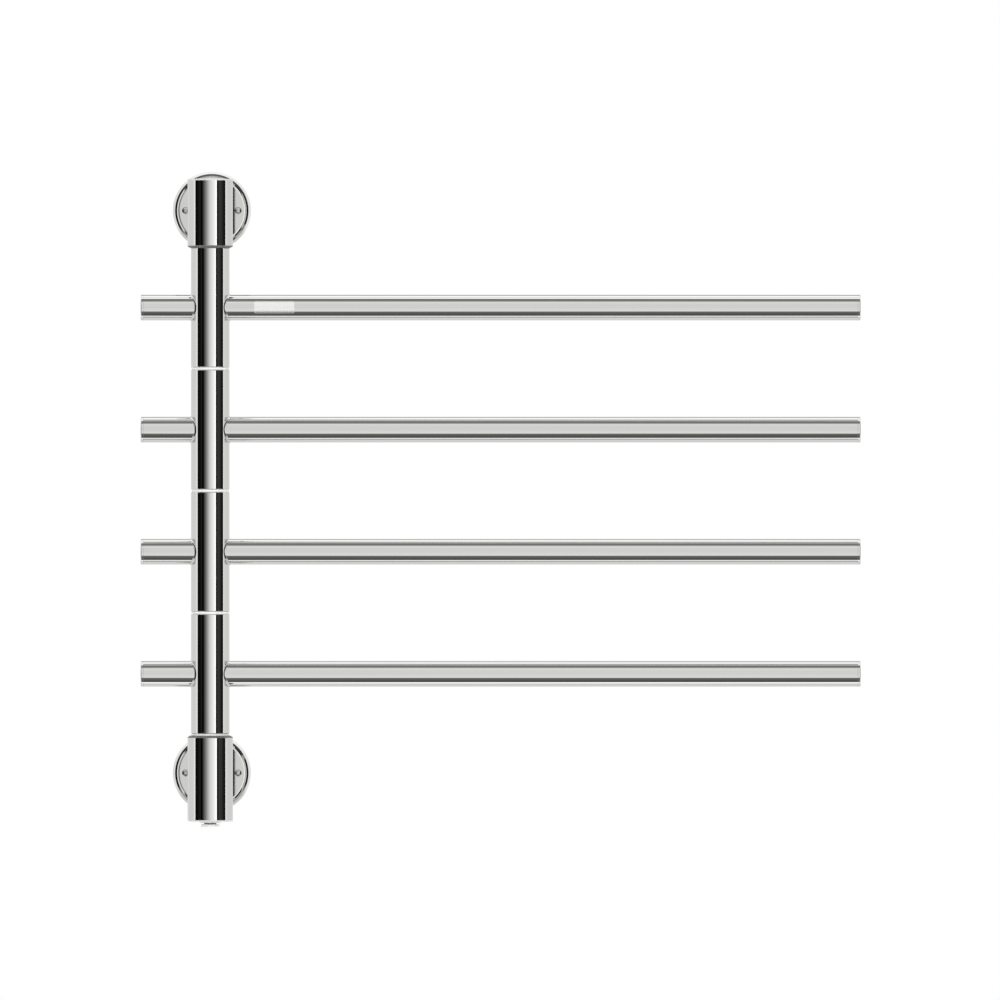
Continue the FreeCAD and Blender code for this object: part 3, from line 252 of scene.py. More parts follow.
def turned_metal(name, colour, roughness, axis):
    """A metal with fine marks of a cutting tool along one axis, which spread its highlights."""
    material, tree, shader = new_material(
        name, Base_Color=linear(colour), Metallic=1.0, Roughness=roughness)
    place = add_node(tree, "ShaderNodeTexCoord").outputs["Object"]
    along = add_node(tree, "ShaderNodeSeparateXYZ", {"Vector": place}).outputs[axis]
    marks = add_node(tree, "ShaderNodeTexNoise", {
        "W": along, "Scale": per_metre(TOOL_MARK), "Detail": 1.0,
    }, noise_dimensions="1D")
    bump = add_node(tree, "ShaderNodeBump", {
        "Height": marks.outputs["Fac"], "Distance": TOOL_MARK_HEIGHT * MM, "Strength": 1.0,
    })
    tree.links.new(bump.outputs["Normal"], shader.inputs["Normal"])
    return material


# Each row: slot, metal and how it was made, colour, roughness, axis of the lathe
turned_metals = [
    ("screw_steel", "Stainless steel, rolled and polished", "#CDCCC8", 0.12, "Y"),
    ("core_steel", "Zinc-plated steel tube, drawn", "#B4B9BC", 0.35, "Z"),
    ("spring_steel", "Spring steel, drawn wire", "#9A9A98", 0.3, "Z"),
    ("anchor_aluminium", "Aluminium, turned", "#D3D5D6", 0.32, "Z"),
    ("earth_brass", "Brass, turned", "#DDB46A", 0.25, "Z"),
]
for slot_name, name, colour, roughness, axis in turned_metals:
    finishes[slot_name] = turned_metal(name, colour, roughness, axis)
print("turned metals: %d finishes so far" % len(finishes))

# %% [markdown]
# ## Moulded plastics and rubbers
#
# The thrust washers, bearings, terminal block and switch are injection moulded. The steel mould
# is spark eroded, so the plastic has a grain of about half a millimetre that breaks up its gloss.
# Rubber and silicone take the same grain from their moulds, and are duller. They differ only in
# colour, gloss and index of refraction, so one function makes them all. The lids that plug the
# column's ends are a silver-grey plastic: beside the chrome they look plain, with no bands in them.
# The push button and the ring round it are a pale, glossy plastic, and the collar between them a
# dark red one, in front of a lamp that is off here. A grey rubber ring seals each housing against
# its hub.

# %% Plastics and rubbers
MOULD_GRAIN = 0.5
MOULD_GRAIN_HEIGHT = 0.006
PLASTIC_IOR = 1.53
RUBBER_IOR = 1.45


def moulded(name, colour, roughness, ior):
    """A moulded plastic or rubber with a fine spark-eroded grain."""
    material, tree, shader = new_material(
        name, Base_Color=linear(colour), Roughness=roughness, IOR=ior)
    place = add_node(tree, "ShaderNodeTexCoord").outputs["Object"]
    grain = add_node(tree, "ShaderNodeTexNoise", {
        "Vector": place, "Scale": per_metre(MOULD_GRAIN), "Detail": 2.0,
    })
    bump = add_node(tree, "ShaderNodeBump", {
        "Height": grain.outputs["Fac"], "Distance": MOULD_GRAIN_HEIGHT * MM, "Strength": 1.0,
    })
    tree.links.new(bump.outputs["Normal"], shader.inputs["Normal"])
    return material


# Each row: slot, material and how it was made, colour, roughness, index of refraction
mouldings = [
    ("washer_nylon", "Nylon, white, moulded washer", "#F4F4F2", 0.4, PLASTIC_IOR),
    ("bush_nylon", "Nylon, natural, moulded", "#E6E2D5", 0.45, PLASTIC_IOR),
    ("block_nylon", "Nylon, white, moulded", "#EDEDE9", 0.4, PLASTIC_IOR),
    ("splice_nylon", "Nylon, tinted, moulded", "#D9D4B8", 0.4, PLASTIC_IOR),
    ("switch_plastic", "ABS, black, moulded", "#1C1C1D", 0.4, PLASTIC_IOR),
    ("lid_plastic", "ABS, silver grey, moulded", "#DADADA", 0.3, PLASTIC_IOR),
    ("silicone_cord", "Silicone, brown, extruded", "#7A3322", 0.55, RUBBER_IOR),
    ("lead_sheath", "Silicone, black, extruded", "#1A1A1A", 0.55, RUBBER_IOR),
    ("earth_sheath", "PVC, green, extruded", "#5E8A2C", 0.4, PLASTIC_IOR),
    ("seal_rubber", "EPDM rubber, grey, moulded", "#6E6E6E", 0.5, RUBBER_IOR),
    ("grommet_rubber", "EPDM rubber, black, moulded", "#171717", 0.65, RUBBER_IOR),
    ("lamp_plastic", "Polycarbonate, red, moulded", "#C0281F", 0.2, PLASTIC_IOR),
    ("collar_red", "Acrylic, dark red, turned", "#4E2029", 0.25, PLASTIC_IOR),
    ("button_plastic", "Polycarbonate, pale, moulded", "#F0F0F0", 0.18, PLASTIC_IOR),
]
for slot_name, name, colour, roughness, ior in mouldings:
    finishes[slot_name] = moulded(name, colour, roughness, ior)
print("plastics and rubbers: %d finishes so far" % len(finishes))

# %% [markdown]
# ## Metallised foil
#
# The small plate on the top bar is a vinyl foil with a thin layer of aluminium under its clear
# face. It mirrors the same room as the chrome, but paler, because aluminium returns more light,
# and softer, because the layer follows the glue under it. The glue's ripple is two millimetres
# wide. Two shaders could be mixed for the layer and the face, but the coat of a single shader
# also dims what lies under it, as a clear face does.

# %% Foil
FOIL_RIPPLE = 2.0
FOIL_RIPPLE_HEIGHT = 0.004
FOIL_FACE_ROUGH = 0.06


def metallised_foil(name, colour, roughness):
    """A silver foil with a clear face, which blurs what it mirrors."""
    material, tree, shader = new_material(
        name, Base_Color=linear(colour), Metallic=1.0, Roughness=roughness,
        Coat_Weight=1.0, Coat_Roughness=FOIL_FACE_ROUGH)
    place = add_node(tree, "ShaderNodeTexCoord").outputs["Object"]
    ripple = add_node(tree, "ShaderNodeTexNoise", {
        "Vector": place, "Scale": per_metre(FOIL_RIPPLE), "Detail": 1.0,
    })
    bump = add_node(tree, "ShaderNodeBump", {
        "Height": ripple.outputs["Fac"], "Distance": FOIL_RIPPLE_HEIGHT * MM, "Strength": 1.0,
    })
    tree.links.new(bump.outputs["Normal"], shader.inputs["Normal"])
    return material


finishes["plate_vinyl"] = metallised_foil("Vinyl foil, metallised, blank", "#F4F4F3", roughness=0.3)
print("foil: %d finishes in all" % len(finishes))

# %% [markdown]
# ## Dressing the CAD pieces
#
# Each CAD node arrives with a placeholder material named after its slot in the record. Swapping
# that for the finish of the same name dresses every piece without touching its mesh. The wall
# plates have finishes of their own.

# %% Dress the CAD nodes
for name, node in nodes.items():
    for slot in node.material_slots:
        slot.material = plate_finishes.get(name, finishes[slot.material.name])
print("dressed %d nodes" % len(nodes))

# %% [markdown]
# ## New pieces
#
# Beads of braze, threads and round corners are too fine for the CAD model, so they are built here
# as meshes. One function puts a finished mesh in the scene, gives it a finish and lets it ride on
# one of the rail's bodies, so that it swings with its arm. Another lays a skin over a row of
# sections, as planks lie over the frames of a boat.


# %% Helpers for new pieces
def new_piece(name, mesh_data, body, slot_name):
    """Puts a finished mesh in the scene, smooth, dressed and riding on a body."""
    for face in mesh_data.faces:
        face.smooth = True
    bmesh.ops.recalc_face_normals(mesh_data, faces=mesh_data.faces)
    mesh = bpy.data.meshes.new(name)
    mesh_data.to_mesh(mesh)
    mesh_data.free()
    mesh.materials.append(finishes[slot_name])
    piece = bpy.data.objects.new(name, mesh)
    bpy.context.scene.collection.objects.link(piece)
    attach(piece, body)
    return piece


def loft(sections, ring=True, into=None):
    """One skin over closed sections: a ring of them, or a row with its two ends closed."""
    made = bmesh.new() if into is None else into
    rows = [[made.verts.new(spot) for spot in section] for section in sections]
    followers = rows[1:] + rows[:1] if ring else rows[1:]
    for row, after in zip(rows, followers):
        for i in range(len(row)):
            j = (i + 1) % len(row)
            made.faces.new((row[i], row[j], after[j], after[i]))
    if not ring:
        made.faces.new(rows[0])
        made.faces.new(rows[-1])
    return made


print("helpers for new pieces ready")

# %% [markdown]
# ## Brazed joints
#
# A bar meets its hub in a saddle-shaped curve, and the joint is closed by a thin bead of braze
# that is plated over with the rest. Such a bead is what a ball leaves when it rolls in the corner
# between the two tubes: it touches both and leaves a hollow between. A bevel could round the
# corner of one mesh, but the tubes are separate pieces here. So the bead is built from the ball.
# For each angle round the bar, the ball's centre is one bead radius outside both tubes, its two
# contacts lie towards the tubes' axes, and the skin is the short arc between them. A point sunk
# in the walls closes the section. Braze spreads where the corner is open, in front and behind,
# and stays thin above and below, where it is square: so the ball grows and shrinks on its way
# round. The same function makes the beads of the wall brackets, where the neck meets the housing.

# %% Braze beads
BEAD_OPEN = 2.4 * MM
BEAD_SQUARE = 0.9 * MM
BEAD_SINK = 0.4 * MM
BEAD_STEPS = 96
BEAD_ARC = 8
AXIS_Y = middle_of("arm_1_hub", "y")


def radius_of(node, axis):
    """Half the size of a CAD node's box along one axis, which is a round tube's radius."""
    low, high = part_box(node)
    return (getattr(high, axis) - getattr(low, axis)) / 2


def arc_points(centre, start, end):
    """Points on the short arc of a ball from one contact to the other."""
    first, last = start - centre, end - centre
    turn = first.rotation_difference(last)
    axis, angle = turn.to_axis_angle()
    return [centre + Matrix.Rotation(angle * i / BEAD_ARC, 3, axis) @ first for i in range(BEAD_ARC + 1)]


def saddle_bead(hub_r, tube_r, place):
    """The bead round a tube along X that stands on an upright tube, moved by a matrix."""
    sections = []
    for i in range(BEAD_STEPS):
        turn = 2 * math.pi * i / BEAD_STEPS
        across = Vector((0, math.cos(turn), math.sin(turn)))
        ball = BEAD_SQUARE + (BEAD_OPEN - BEAD_SQUARE) * across.y ** 2
        shrink = hub_r / (hub_r + ball)
        centre = across * (tube_r + ball)
        centre.x = math.sqrt((hub_r + ball) ** 2 - centre.y ** 2)
        on_tube = across * tube_r + Vector((centre.x, 0, 0))
        on_hub = Vector((centre.x * shrink, centre.y * shrink, centre.z))
        root = across * (tube_r - BEAD_SINK)
        root.x = math.sqrt((hub_r - BEAD_SINK) ** 2 - root.y ** 2)
        sections.append([place @ spot for spot in arc_points(centre, on_tube, on_hub) + [root]])
    return loft(sections)


for arm in ("arm_1", "arm_2", "arm_3", "arm_4"):
    hub = arm + "_hub"
    level = middle_of(hub, "z")
    for part, turn in (("_bar", 0), ("_stub", math.pi)):
        tube = arm + part
        place = Matrix.Translation((0, AXIS_Y, level)) @ Matrix.Rotation(turn, 4, "Z")
        bead = saddle_bead(radius_of(hub, "y"), radius_of(tube, "z"), place)
        new_piece(tube + "_braze", bead, arm, "chrome")
print("braze beads: 8 of %.1f to %.1f mm on the arms" % (BEAD_SQUARE / MM, BEAD_OPEN / MM))

# %% [markdown]
# ## Brackets' beads
#
# Each neck stands on its housing in the same kind of saddle, turned towards the wall. At its other
# end it meets the flat wall plate, and there the rolling ball leaves a plain ring.


# %% Bracket beads
def flat_bead(tube_r, face_y, level):
    """The bead round a tube along Y that stands on a flat plate."""
    sections = []
    for i in range(BEAD_STEPS):
        turn = 2 * math.pi * i / BEAD_STEPS
        across = Vector((math.cos(turn), 0, math.sin(turn)))
        base = Vector((0, face_y, level))
        centre = base + across * (tube_r + BEAD_SQUARE) - Vector((0, BEAD_SQUARE, 0))
        on_tube = base + across * tube_r - Vector((0, BEAD_SQUARE, 0))
        on_face = base + across * (tube_r + BEAD_SQUARE)
        root = base + across * (tube_r - BEAD_SINK) + Vector((0, BEAD_SINK, 0))
        sections.append(arc_points(centre, on_tube, on_face) + [root])
    return loft(sections)


for end in ("top", "bottom"):
    neck = end + "_neck"
    level = middle_of(neck, "z")
    place = Matrix.Translation((0, AXIS_Y, level)) @ Matrix.Rotation(math.pi / 2, 4, "Z")
    bead = saddle_bead(radius_of(end + "_housing", "x"), radius_of(neck, "x"), place)
    new_piece(neck + "_housing_braze", bead, "wall_frame", "chrome")
    ring = flat_bead(radius_of(neck, "x"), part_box(neck)[1].y, level)
    new_piece(neck + "_plate_braze", ring, "wall_frame", "chrome")
print("braze beads: 4 on the brackets")

# %% [markdown]
# ## Blank plate
#
# The CAD plate is a piece of a ring with square corners. Foil plates are stamped with round
# corners, or they would peel. A boolean could cut them, but it leaves slivers in so thin a sheet.
# So the outline is drawn unrolled, as a length along the bar and a half width round it, and each
# place along the length gives one section: out along the outer arc and back along the inner one.
# Near the ends the half width follows a quarter circle.

# %% Blank plate
FOIL_CORNER = 1.3 * MM
FOIL_CORNER_STEPS = 8
FOIL_STEPS = 24
SHARP_ANGLE = math.radians(32)

foil_low, foil_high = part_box("arm_1_blank_plate")
foil_level = middle_of("arm_1_blank_plate", "z")
foil_outer = AXIS_Y - foil_low.y
foil_half = math.asin((foil_high.z - foil_low.z) / 2 / foil_outer)
foil_inner = (AXIS_Y - foil_high.y) / math.cos(foil_half)


def foil_section(x, half):
    """The foil's section at one place along the bar, for a half width given as an angle."""
    turns = [half * (2 * i / FOIL_STEPS - 1) for i in range(FOIL_STEPS + 1)]
    path = [(foil_outer, turn) for turn in turns] + [(foil_inner, turn) for turn in reversed(turns)]
    return [Vector((x, AXIS_Y - r * math.cos(a), foil_level + r * math.sin(a))) for r, a in path]


left_end, right_end = [], []
for i in range(FOIL_CORNER_STEPS + 1):
    turn = math.pi / 2 * i / FOIL_CORNER_STEPS
    inset = FOIL_CORNER * (1 - math.cos(turn))
    half = foil_half - FOIL_CORNER * (1 - math.sin(turn)) / foil_outer
    left_end.append(foil_section(foil_low.x + inset, half))
    right_end.insert(0, foil_section(foil_high.x - inset, half))
foil = new_piece("arm_1_foil_plate", loft(left_end + right_end, ring=False), "arm_1", "plate_vinyl")
foil.data.set_sharp_from_angle(angle=SHARP_ANGLE)
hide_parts("arm_1_blank_plate")
foil_length = foil_high.x - foil_low.x
print("blank plate: %.1f mm long, corners of %.1f mm" % (foil_length / MM, FOIL_CORNER / MM))

# %% [markdown]
# ## Return spring
#
# A coil spring pushes the button back out, and shortens when the button goes in. The CAD spring
# is copied to a piece of its own that rides on the wall frame, and the CAD node is hidden. A
# rigid piece can't do that, and a shape key would know nothing of the joint.

# %% Return spring
spring = bpy.data.objects.new("return_spring_coil", nodes["return_spring"].data.copy())
bpy.context.scene.collection.objects.link(spring)
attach(spring, "wall_frame")
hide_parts("return_spring")
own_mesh(spring)

# %% [markdown]
# ## Wall screws
#
# The CAD screws have a domed head and a smooth shank of the thread's outside diameter, which is
# enough for fitting. Real ones have a tapered cross recess and a coarse rolled thread that runs
# out at the point. A bump could draw a thread, but it would leave the outline smooth, and the
# screws stand free behind the plates. So they are modelled again, in three steps, of which the
# first is the head and the bare core: a profile spun round the axis.

# %% Screw head and core
SCREW_STEPS = 40
HEAD_RADIUS = 2.8 * MM
CROWN_RADIUS = 5.0 * MM
CROWN_STEPS = 6
NECK_RADIUS = 2.3 * MM
NECK_END = -0.3 * MM
CONE_END = 0.6 * MM
CORE_RADIUS = 1.4 * MM
TIP_LENGTH = 6.0 * MM
TIP_RADIUS = 0.05 * MM

screw_low, screw_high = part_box("wall_screws")
PLATE_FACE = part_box("top_neck")[1].y
head_top = screw_low.y
screw_end = screw_high.y
crown_radii = [HEAD_RADIUS * i / CROWN_STEPS for i in range(CROWN_STEPS + 1)]
crown_drops = [CROWN_RADIUS - math.sqrt(CROWN_RADIUS ** 2 - r ** 2) for r in crown_radii]
head_profile = [(r, head_top + drop) for r, drop in zip(crown_radii, crown_drops)]
head_profile += [
    (HEAD_RADIUS, PLATE_FACE), (NECK_RADIUS, PLATE_FACE), (NECK_RADIUS, NECK_END),
    (CORE_RADIUS, CONE_END), (CORE_RADIUS, screw_end - TIP_LENGTH), (TIP_RADIUS, screw_end),
]


def spin(profile):
    """A closed skin from a profile of (radius, place along Y), spun round Y."""
    made = bmesh.new()
    rows = []
    for radius, y in profile:
        angles = [2 * math.pi * i / SCREW_STEPS for i in range(SCREW_STEPS)] if radius else [0]
        spots = [Vector((radius * math.cos(a), y, radius * math.sin(a))) for a in angles]
        rows.append([made.verts.new(spot) for spot in spots])
    for row, after in zip(rows, rows[1:]):
        for i in range(SCREW_STEPS):
            j = (i + 1) % SCREW_STEPS
            if len(row) == 1:
                made.faces.new((row[0], after[j], after[i]))
            else:
                made.faces.new((row[i], row[j], after[j], after[i]))
    made.faces.new(rows[-1])
    bmesh.ops.recalc_face_normals(made, faces=made.faces)
    return made


print("screw: head %.1f mm high, point %.0f mm behind the wall" % (
    (PLATE_FACE - head_top) / MM, screw_end / MM))

# %% [markdown]
# ## Cross recess
#
# The recess is cut by two crossed wedges that narrow towards their depth, as the driver's tip
# does. They stick out of the head's top and are wider there, so that the cut is clean. The faces
# of the recess could be laid by hand, but a boolean finds by itself where they leave the dome.

# %% Cut the recess
CROSS_WIDTH = 0.8 * MM
CROSS_LENGTH = 3.3 * MM
CROSS_DEPTH = 1.3 * MM
CROSS_ABOVE = 0.5 * MM
CROSS_FLARE = 1.2
CROSS_TAPER = 0.55
SQUARE_CORNERS = ((-1, -1), (1, -1), (1, 1), (-1, 1))
WEDGE_FACES = ((0, 1, 2, 3), (4, 5, 6, 7), (0, 1, 5, 4), (1, 2, 6, 5), (2, 3, 7, 6), (3, 0, 4, 7))


def cross_cutter():
    """Two crossed wedges, wide at the head's top and narrow at the recess's floor."""
    made = bmesh.new()
    for long_x in (True, False):
        corners = []
        for depth, share in ((-CROSS_ABOVE, CROSS_FLARE), (CROSS_DEPTH, CROSS_TAPER)):
            along, across = CROSS_LENGTH / 2 * share, CROSS_WIDTH / 2 * share
            reach = (along, across) if long_x else (across, along)
            for x, z in SQUARE_CORNERS:
                corners.append(made.verts.new((x * reach[0], head_top + depth, z * reach[1])))
        for face in WEDGE_FACES:
            made.faces.new([corners[i] for i in face])
    bmesh.ops.recalc_face_normals(made, faces=made.faces)
    return made


def as_object(name, mesh_data):
    """A plain object from a bmesh, for the boolean to work on."""
    mesh = bpy.data.meshes.new(name)
    mesh_data.to_mesh(mesh)
    mesh_data.free()
    made = bpy.data.objects.new(name, mesh)
    bpy.context.scene.collection.objects.link(made)
    return made


def cut_head():
    """The screw's head and core with the recess cut out, as a bmesh."""
    head = as_object("screw_blank", spin(head_profile))
    tool = as_object("screw_cross", cross_cutter())
    recess = head.modifiers.new("recess", "BOOLEAN")
    recess.object = tool
    recess.use_self = True
    graph = bpy.context.evaluated_depsgraph_get()
    made = bmesh.new()
    made.from_mesh(head.evaluated_get(graph).to_mesh())
    for spare in (head, tool):
        bpy.data.meshes.remove(spare.data)
    return made


one_screw = cut_head()
print("screw with its recess: %d faces" % len(one_screw.faces))

# %% [markdown]
# ## Thread
#
# The thread's section is a triangle: two feet sunk in the core and one crest. It follows a helix,
# and the function that lays the beads' skin lays this one too. The feet are inside the core, so
# no boolean is needed to join them. The crest rises over the first turn and comes down again with
# the point, as a rolled thread does. All four screws are one piece, which stands for the CAD node.

# %% Sweep the thread and place four screws
THREAD_RADIUS = 2.0 * MM
THREAD_PITCH = 1.8 * MM
THREAD_MARGIN = 0.8 * MM
THREAD_FOOT = 0.3
THREAD_ROOT = 0.9
THREAD_FIRST = 0.2
THREAD_LAST = 0.05


def add_thread(made):
    """Sweeps the thread's triangle along its helix, into the same bmesh."""
    start, end = THREAD_MARGIN, screw_end - THREAD_MARGIN
    steps = int((end - start) / THREAD_PITCH * SCREW_STEPS)
    sections = []
    for i in range(steps + 1):
        y = start + (end - start) * i / steps
        turn = 2 * math.pi * i / SCREW_STEPS
        taper = min(1, (screw_end - y) / TIP_LENGTH, THREAD_FIRST + (y - start) / THREAD_PITCH)
        out = Vector((math.cos(turn), 0, math.sin(turn)))
        core = CORE_RADIUS * min(1, (screw_end - y) / TIP_LENGTH) * THREAD_ROOT
        crest = core + (THREAD_RADIUS - CORE_RADIUS * THREAD_ROOT) * max(taper, THREAD_LAST)
        half = Vector((0, THREAD_PITCH * THREAD_FOOT, 0))
        middle = Vector((0, y, 0))
        sections.append((middle + out * core - half, middle + out * crest, middle + out * core + half))
    loft(sections, ring=False, into=made)


add_thread(one_screw)
offset = max(abs(screw_low.x), screw_high.x) - HEAD_RADIUS
levels = [middle_of(plate, "z") for plate in plate_finishes]
all_screws = bmesh.new()
blank = bpy.data.meshes.new("one_screw")
one_screw.to_mesh(blank)
one_screw.free()
for x in (-offset, offset):
    for z in levels:
        placed = blank.copy()
        placed.transform(Matrix.Translation((x, 0, z)))
        all_screws.from_mesh(placed)
        bpy.data.meshes.remove(placed)
bpy.data.meshes.remove(blank)
screws = new_piece("wall_screws_threaded", all_screws, "wall_frame", "screw_steel")
screws.data.set_sharp_from_angle(angle=SHARP_ANGLE)
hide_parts("wall_screws")
print("wall screws: 4 with %d faces" % len(screws.data.polygons))

# %% [markdown]
# ## Camera
#
# The photograph was taken level and from far away, with a long lens: the plates on the wall and
# the column before them are almost at the same scale in it. A parallel view would come close, but
# it has no shift between near and far. A distance of twelve metres gives the small shift that the
# photograph shows. The lens follows from the width in view at the column.

# %% Camera
VIEW_DISTANCE = 12.0
VIEW_WIDTH = 778.2 * MM
VIEW_CENTRE_X = 225.5 * MM
VIEW_CENTRE_Z = -6.4 * MM
SENSOR_WIDTH = 36.0

camera_data = bpy.data.cameras.new("camera")
camera_data.sensor_width = SENSOR_WIDTH
camera_data.lens = SENSOR_WIDTH * VIEW_DISTANCE / VIEW_WIDTH
camera = bpy.data.objects.new("camera", camera_data)
camera.location = (VIEW_CENTRE_X, AXIS_Y - VIEW_DISTANCE, VIEW_CENTRE_Z)
camera.rotation_euler = (math.radians(90), 0, 0)
bpy.context.scene.collection.objects.link(camera)
bpy.context.scene.camera = camera
print("camera: a %.0f mm lens at %.0f m" % (camera_data.lens, VIEW_DISTANCE))

# %% [markdown]
# ## A studio for the chrome to mirror
#
# Chrome shows the room and little else. This room is a white tent with black flags round its
# mouth, a large soft light beside the camera and another overhead. Lamps and cards could be built
# round the rail, but they would also stand in other views. So the room is painted into the world,
# as brightness by direction. Four ramps say how bright the room is to the right, to the left,
# above and below, each by the angle from the camera's side of the room (0 is straight ahead of
# the rail, 180 behind it). Between them the room blends from one side to the next, by the share of
# the height in the direction. The flags don't reach into the two lower corners, where the white
# tent shows. The camera itself sees plain white.

# %% Studio
RIGHT_SIDE = [
    (0, 0.97), (20, 1.33), (27, 1.48), (31.4, 1.6), (31.9, 2.4), (33.9, 2.4), (34.1, 0.0), (42, 0.016),
    (47, 0.062), (54, 0.047), (60, 0.048), (66, 0.03), (72, 0.0155), (85.1, 0.008),
    (85.5, 1.5), (89, 1.25), (92, 1.05), (100, 0.975), (120, 0.99), (134, 1.05), (150, 1.22),
    (162, 1.2), (172, 1.2), (180, 0.9),
]
LEFT_SIDE = [
    (0, 0.97), (4, 0.85), (10, 0.65), (16, 0.45), (22, 0.285), (29, 0.15), (35, 0.06), (39.5, 0.004),
    (46, 0.0), (51, 0.022), (58, 0.012), (69, 0.006), (80.3, 0.003),
    (81.9, 1.25), (87, 1.25), (92, 1.08), (97, 0.98), (120, 1.015), (134, 1.07), (150, 1.34),
    (162, 1.1), (172, 1.1), (180, 0.9),
]
ABOVE = [
    (0, 1.0), (36, 1.0), (46, 1.2), (54, 0.7), (62, 0.3), (83, 0.2), (85, 1.45), (99, 1.45),
    (101, 0.95), (107, 0.95), (109, 1.75), (124, 1.75), (127, 0.9), (150, 0.9), (180, 0.75),
]
BELOW = [
    (0, 1.0), (28, 1.1), (34, 1.13), (36, 0.24), (58, 0.13), (78.5, 0.1), (80.5, 1.6), (95, 1.5),
    (98, 0.88), (112, 0.9), (116, 1.15), (135, 1.05), (150, 1.15), (162, 1.4), (172, 1.3), (180, 1.0),
]
HALF_TURN = 180


def side_ramp(tree, angle, stops):
    """The room's brightness on one side, by the angle from the camera's direction."""
    made = add_node(tree, "ShaderNodeValToRGB", {"Fac": angle})
    ramp = made.color_ramp
    while len(ramp.elements) < len(stops):
        ramp.elements.new(1.0)
    for element, (degrees, level) in zip(ramp.elements, stops):
        element.position = degrees / HALF_TURN
        element.color = (level, level, level, 1)
    return made.outputs["Color"]


print("studio: %d steps of light to the right, %d to the left" % (len(RIGHT_SIDE), len(LEFT_SIDE)))

# %% [markdown]
# ## Painting the room
#
# A world shader is given the direction of each ray. The part of it along Y gives the angle, in half
# turns, that the ramps are read at. The parts along X and Z say which two ramps count, and the share
# of the height, z squared over x squared plus z squared, blends the two. A mask of that share and
# the angle then lays the open corners over the lower half. A Mix node has sockets for numbers and
# for colours under the same names, so the colour sockets are picked by their places.

# %% Paint the room
MIX_FACTOR = 0
MIX_FIRST = 6
MIX_SECOND = 7
MIX_RESULT = 2
CORNER_START = 0.15
CORNER_FULL = 0.35
CORNER_FADE = 0.94
CORNER_END = 0.98
CORNER_ANGLE = 54
CORNER_ANGLE_FULL = 60
CORNER_LEVEL = 0.9

world = bpy.data.worlds.new("studio")
bpy.context.scene.world = world
world.use_nodes = True
tree = world.node_tree
tree.nodes.clear()
direction = add_node(tree, "ShaderNodeTexCoord").outputs["Generated"]
axes = add_node(tree, "ShaderNodeSeparateXYZ", {"Vector": direction})
x_part, y_part, z_part = (axes.outputs[axis] for axis in "XYZ")
toward = add_node(tree, "ShaderNodeMath", {0: y_part, 1: -1.0}, operation="MULTIPLY")
radians = add_node(tree, "ShaderNodeMath", {0: toward.outputs[0]}, operation="ARCCOSINE")
half_turns = add_node(tree, "ShaderNodeMath", {0: radians.outputs[0], 1: math.pi}, operation="DIVIDE")
angle = half_turns.outputs[0]
to_right = add_node(tree, "ShaderNodeMath", {0: x_part, 1: 0.0}, operation="GREATER_THAN")
to_top = add_node(tree, "ShaderNodeMath", {0: z_part, 1: 0.0}, operation="GREATER_THAN")
across = add_node(tree, "ShaderNodeMath", {0: x_part, 1: x_part}, operation="MULTIPLY")
upward = add_node(tree, "ShaderNodeMath", {0: z_part, 1: z_part}, operation="MULTIPLY")
both = add_node(tree, "ShaderNodeMath", {0: across.outputs[0], 1: upward.outputs[0]}, operation="ADD")
share = add_node(tree, "ShaderNodeMath", {0: upward.outputs[0], 1: both.outputs[0]}, operation="DIVIDE")
level_room = add_node(tree, "ShaderNodeMix", {
    MIX_FACTOR: to_right.outputs[0],
    MIX_FIRST: side_ramp(tree, angle, LEFT_SIDE),
    MIX_SECOND: side_ramp(tree, angle, RIGHT_SIDE),
}, data_type="RGBA")
upright_room = add_node(tree, "ShaderNodeMix", {
    MIX_FACTOR: to_top.outputs[0],
    MIX_FIRST: side_ramp(tree, angle, BELOW),
    MIX_SECOND: side_ramp(tree, angle, ABOVE),
}, data_type="RGBA")
room = add_node(tree, "ShaderNodeMix", {
    MIX_FACTOR: share.outputs[0],
    MIX_FIRST: level_room.outputs[MIX_RESULT],
    MIX_SECOND: upright_room.outputs[MIX_RESULT],
}, data_type="RGBA")
corner_start = add_node(tree, "ShaderNodeMapRange", {
    "Value": share.outputs[0], "From Min": CORNER_START, "From Max": CORNER_FULL,
})
corner_end = add_node(tree, "ShaderNodeMapRange", {
    "Value": share.outputs[0], "From Min": CORNER_END, "From Max": CORNER_FADE,
})
corner_reach = add_node(tree, "ShaderNodeMapRange", {
    "Value": angle, "From Min": CORNER_ANGLE / HALF_TURN, "From Max": CORNER_ANGLE_FULL / HALF_TURN,
})
corner = add_node(tree, "ShaderNodeMath", {0: 1.0, 1: to_top.outputs[0]}, operation="SUBTRACT")
for part in (corner_start, corner_end, corner_reach):
    corner = add_node(tree, "ShaderNodeMath", {
        0: corner.outputs[0], 1: part.outputs["Result"],
    }, operation="MULTIPLY")
open_room = add_node(tree, "ShaderNodeMix", {
    MIX_FACTOR: corner.outputs[0],
    MIX_FIRST: room.outputs[MIX_RESULT],
    MIX_SECOND: (CORNER_LEVEL, CORNER_LEVEL, CORNER_LEVEL, 1),
}, data_type="RGBA")
painted = add_node(tree, "ShaderNodeBackground", {
    "Color": open_room.outputs[MIX_RESULT], "Strength": 1.0,
})
plain = add_node(tree, "ShaderNodeBackground", {"Color": linear("#FFFFFF"), "Strength": 1.0})
seen = add_node(tree, "ShaderNodeLightPath")
surface = add_node(tree, "ShaderNodeMixShader", {
    0: seen.outputs["Is Camera Ray"], 1: painted.outputs[0], 2: plain.outputs[0],
})
add_node(tree, "ShaderNodeOutputWorld", {"Surface": surface.outputs[0]})
bpy.context.scene.view_settings.view_transform = "Standard"
print("studio: %d nodes" % len(tree.nodes))

# %% [markdown]
# ## Fill light
#
# The black flags that give the chrome its contrast also take light from the pale pieces: the
# washers, the button and the blank plate. A brighter room would wash out the dark bands. So a
# large soft lamp beside the camera gives the light back, and the chrome doesn't mirror it.

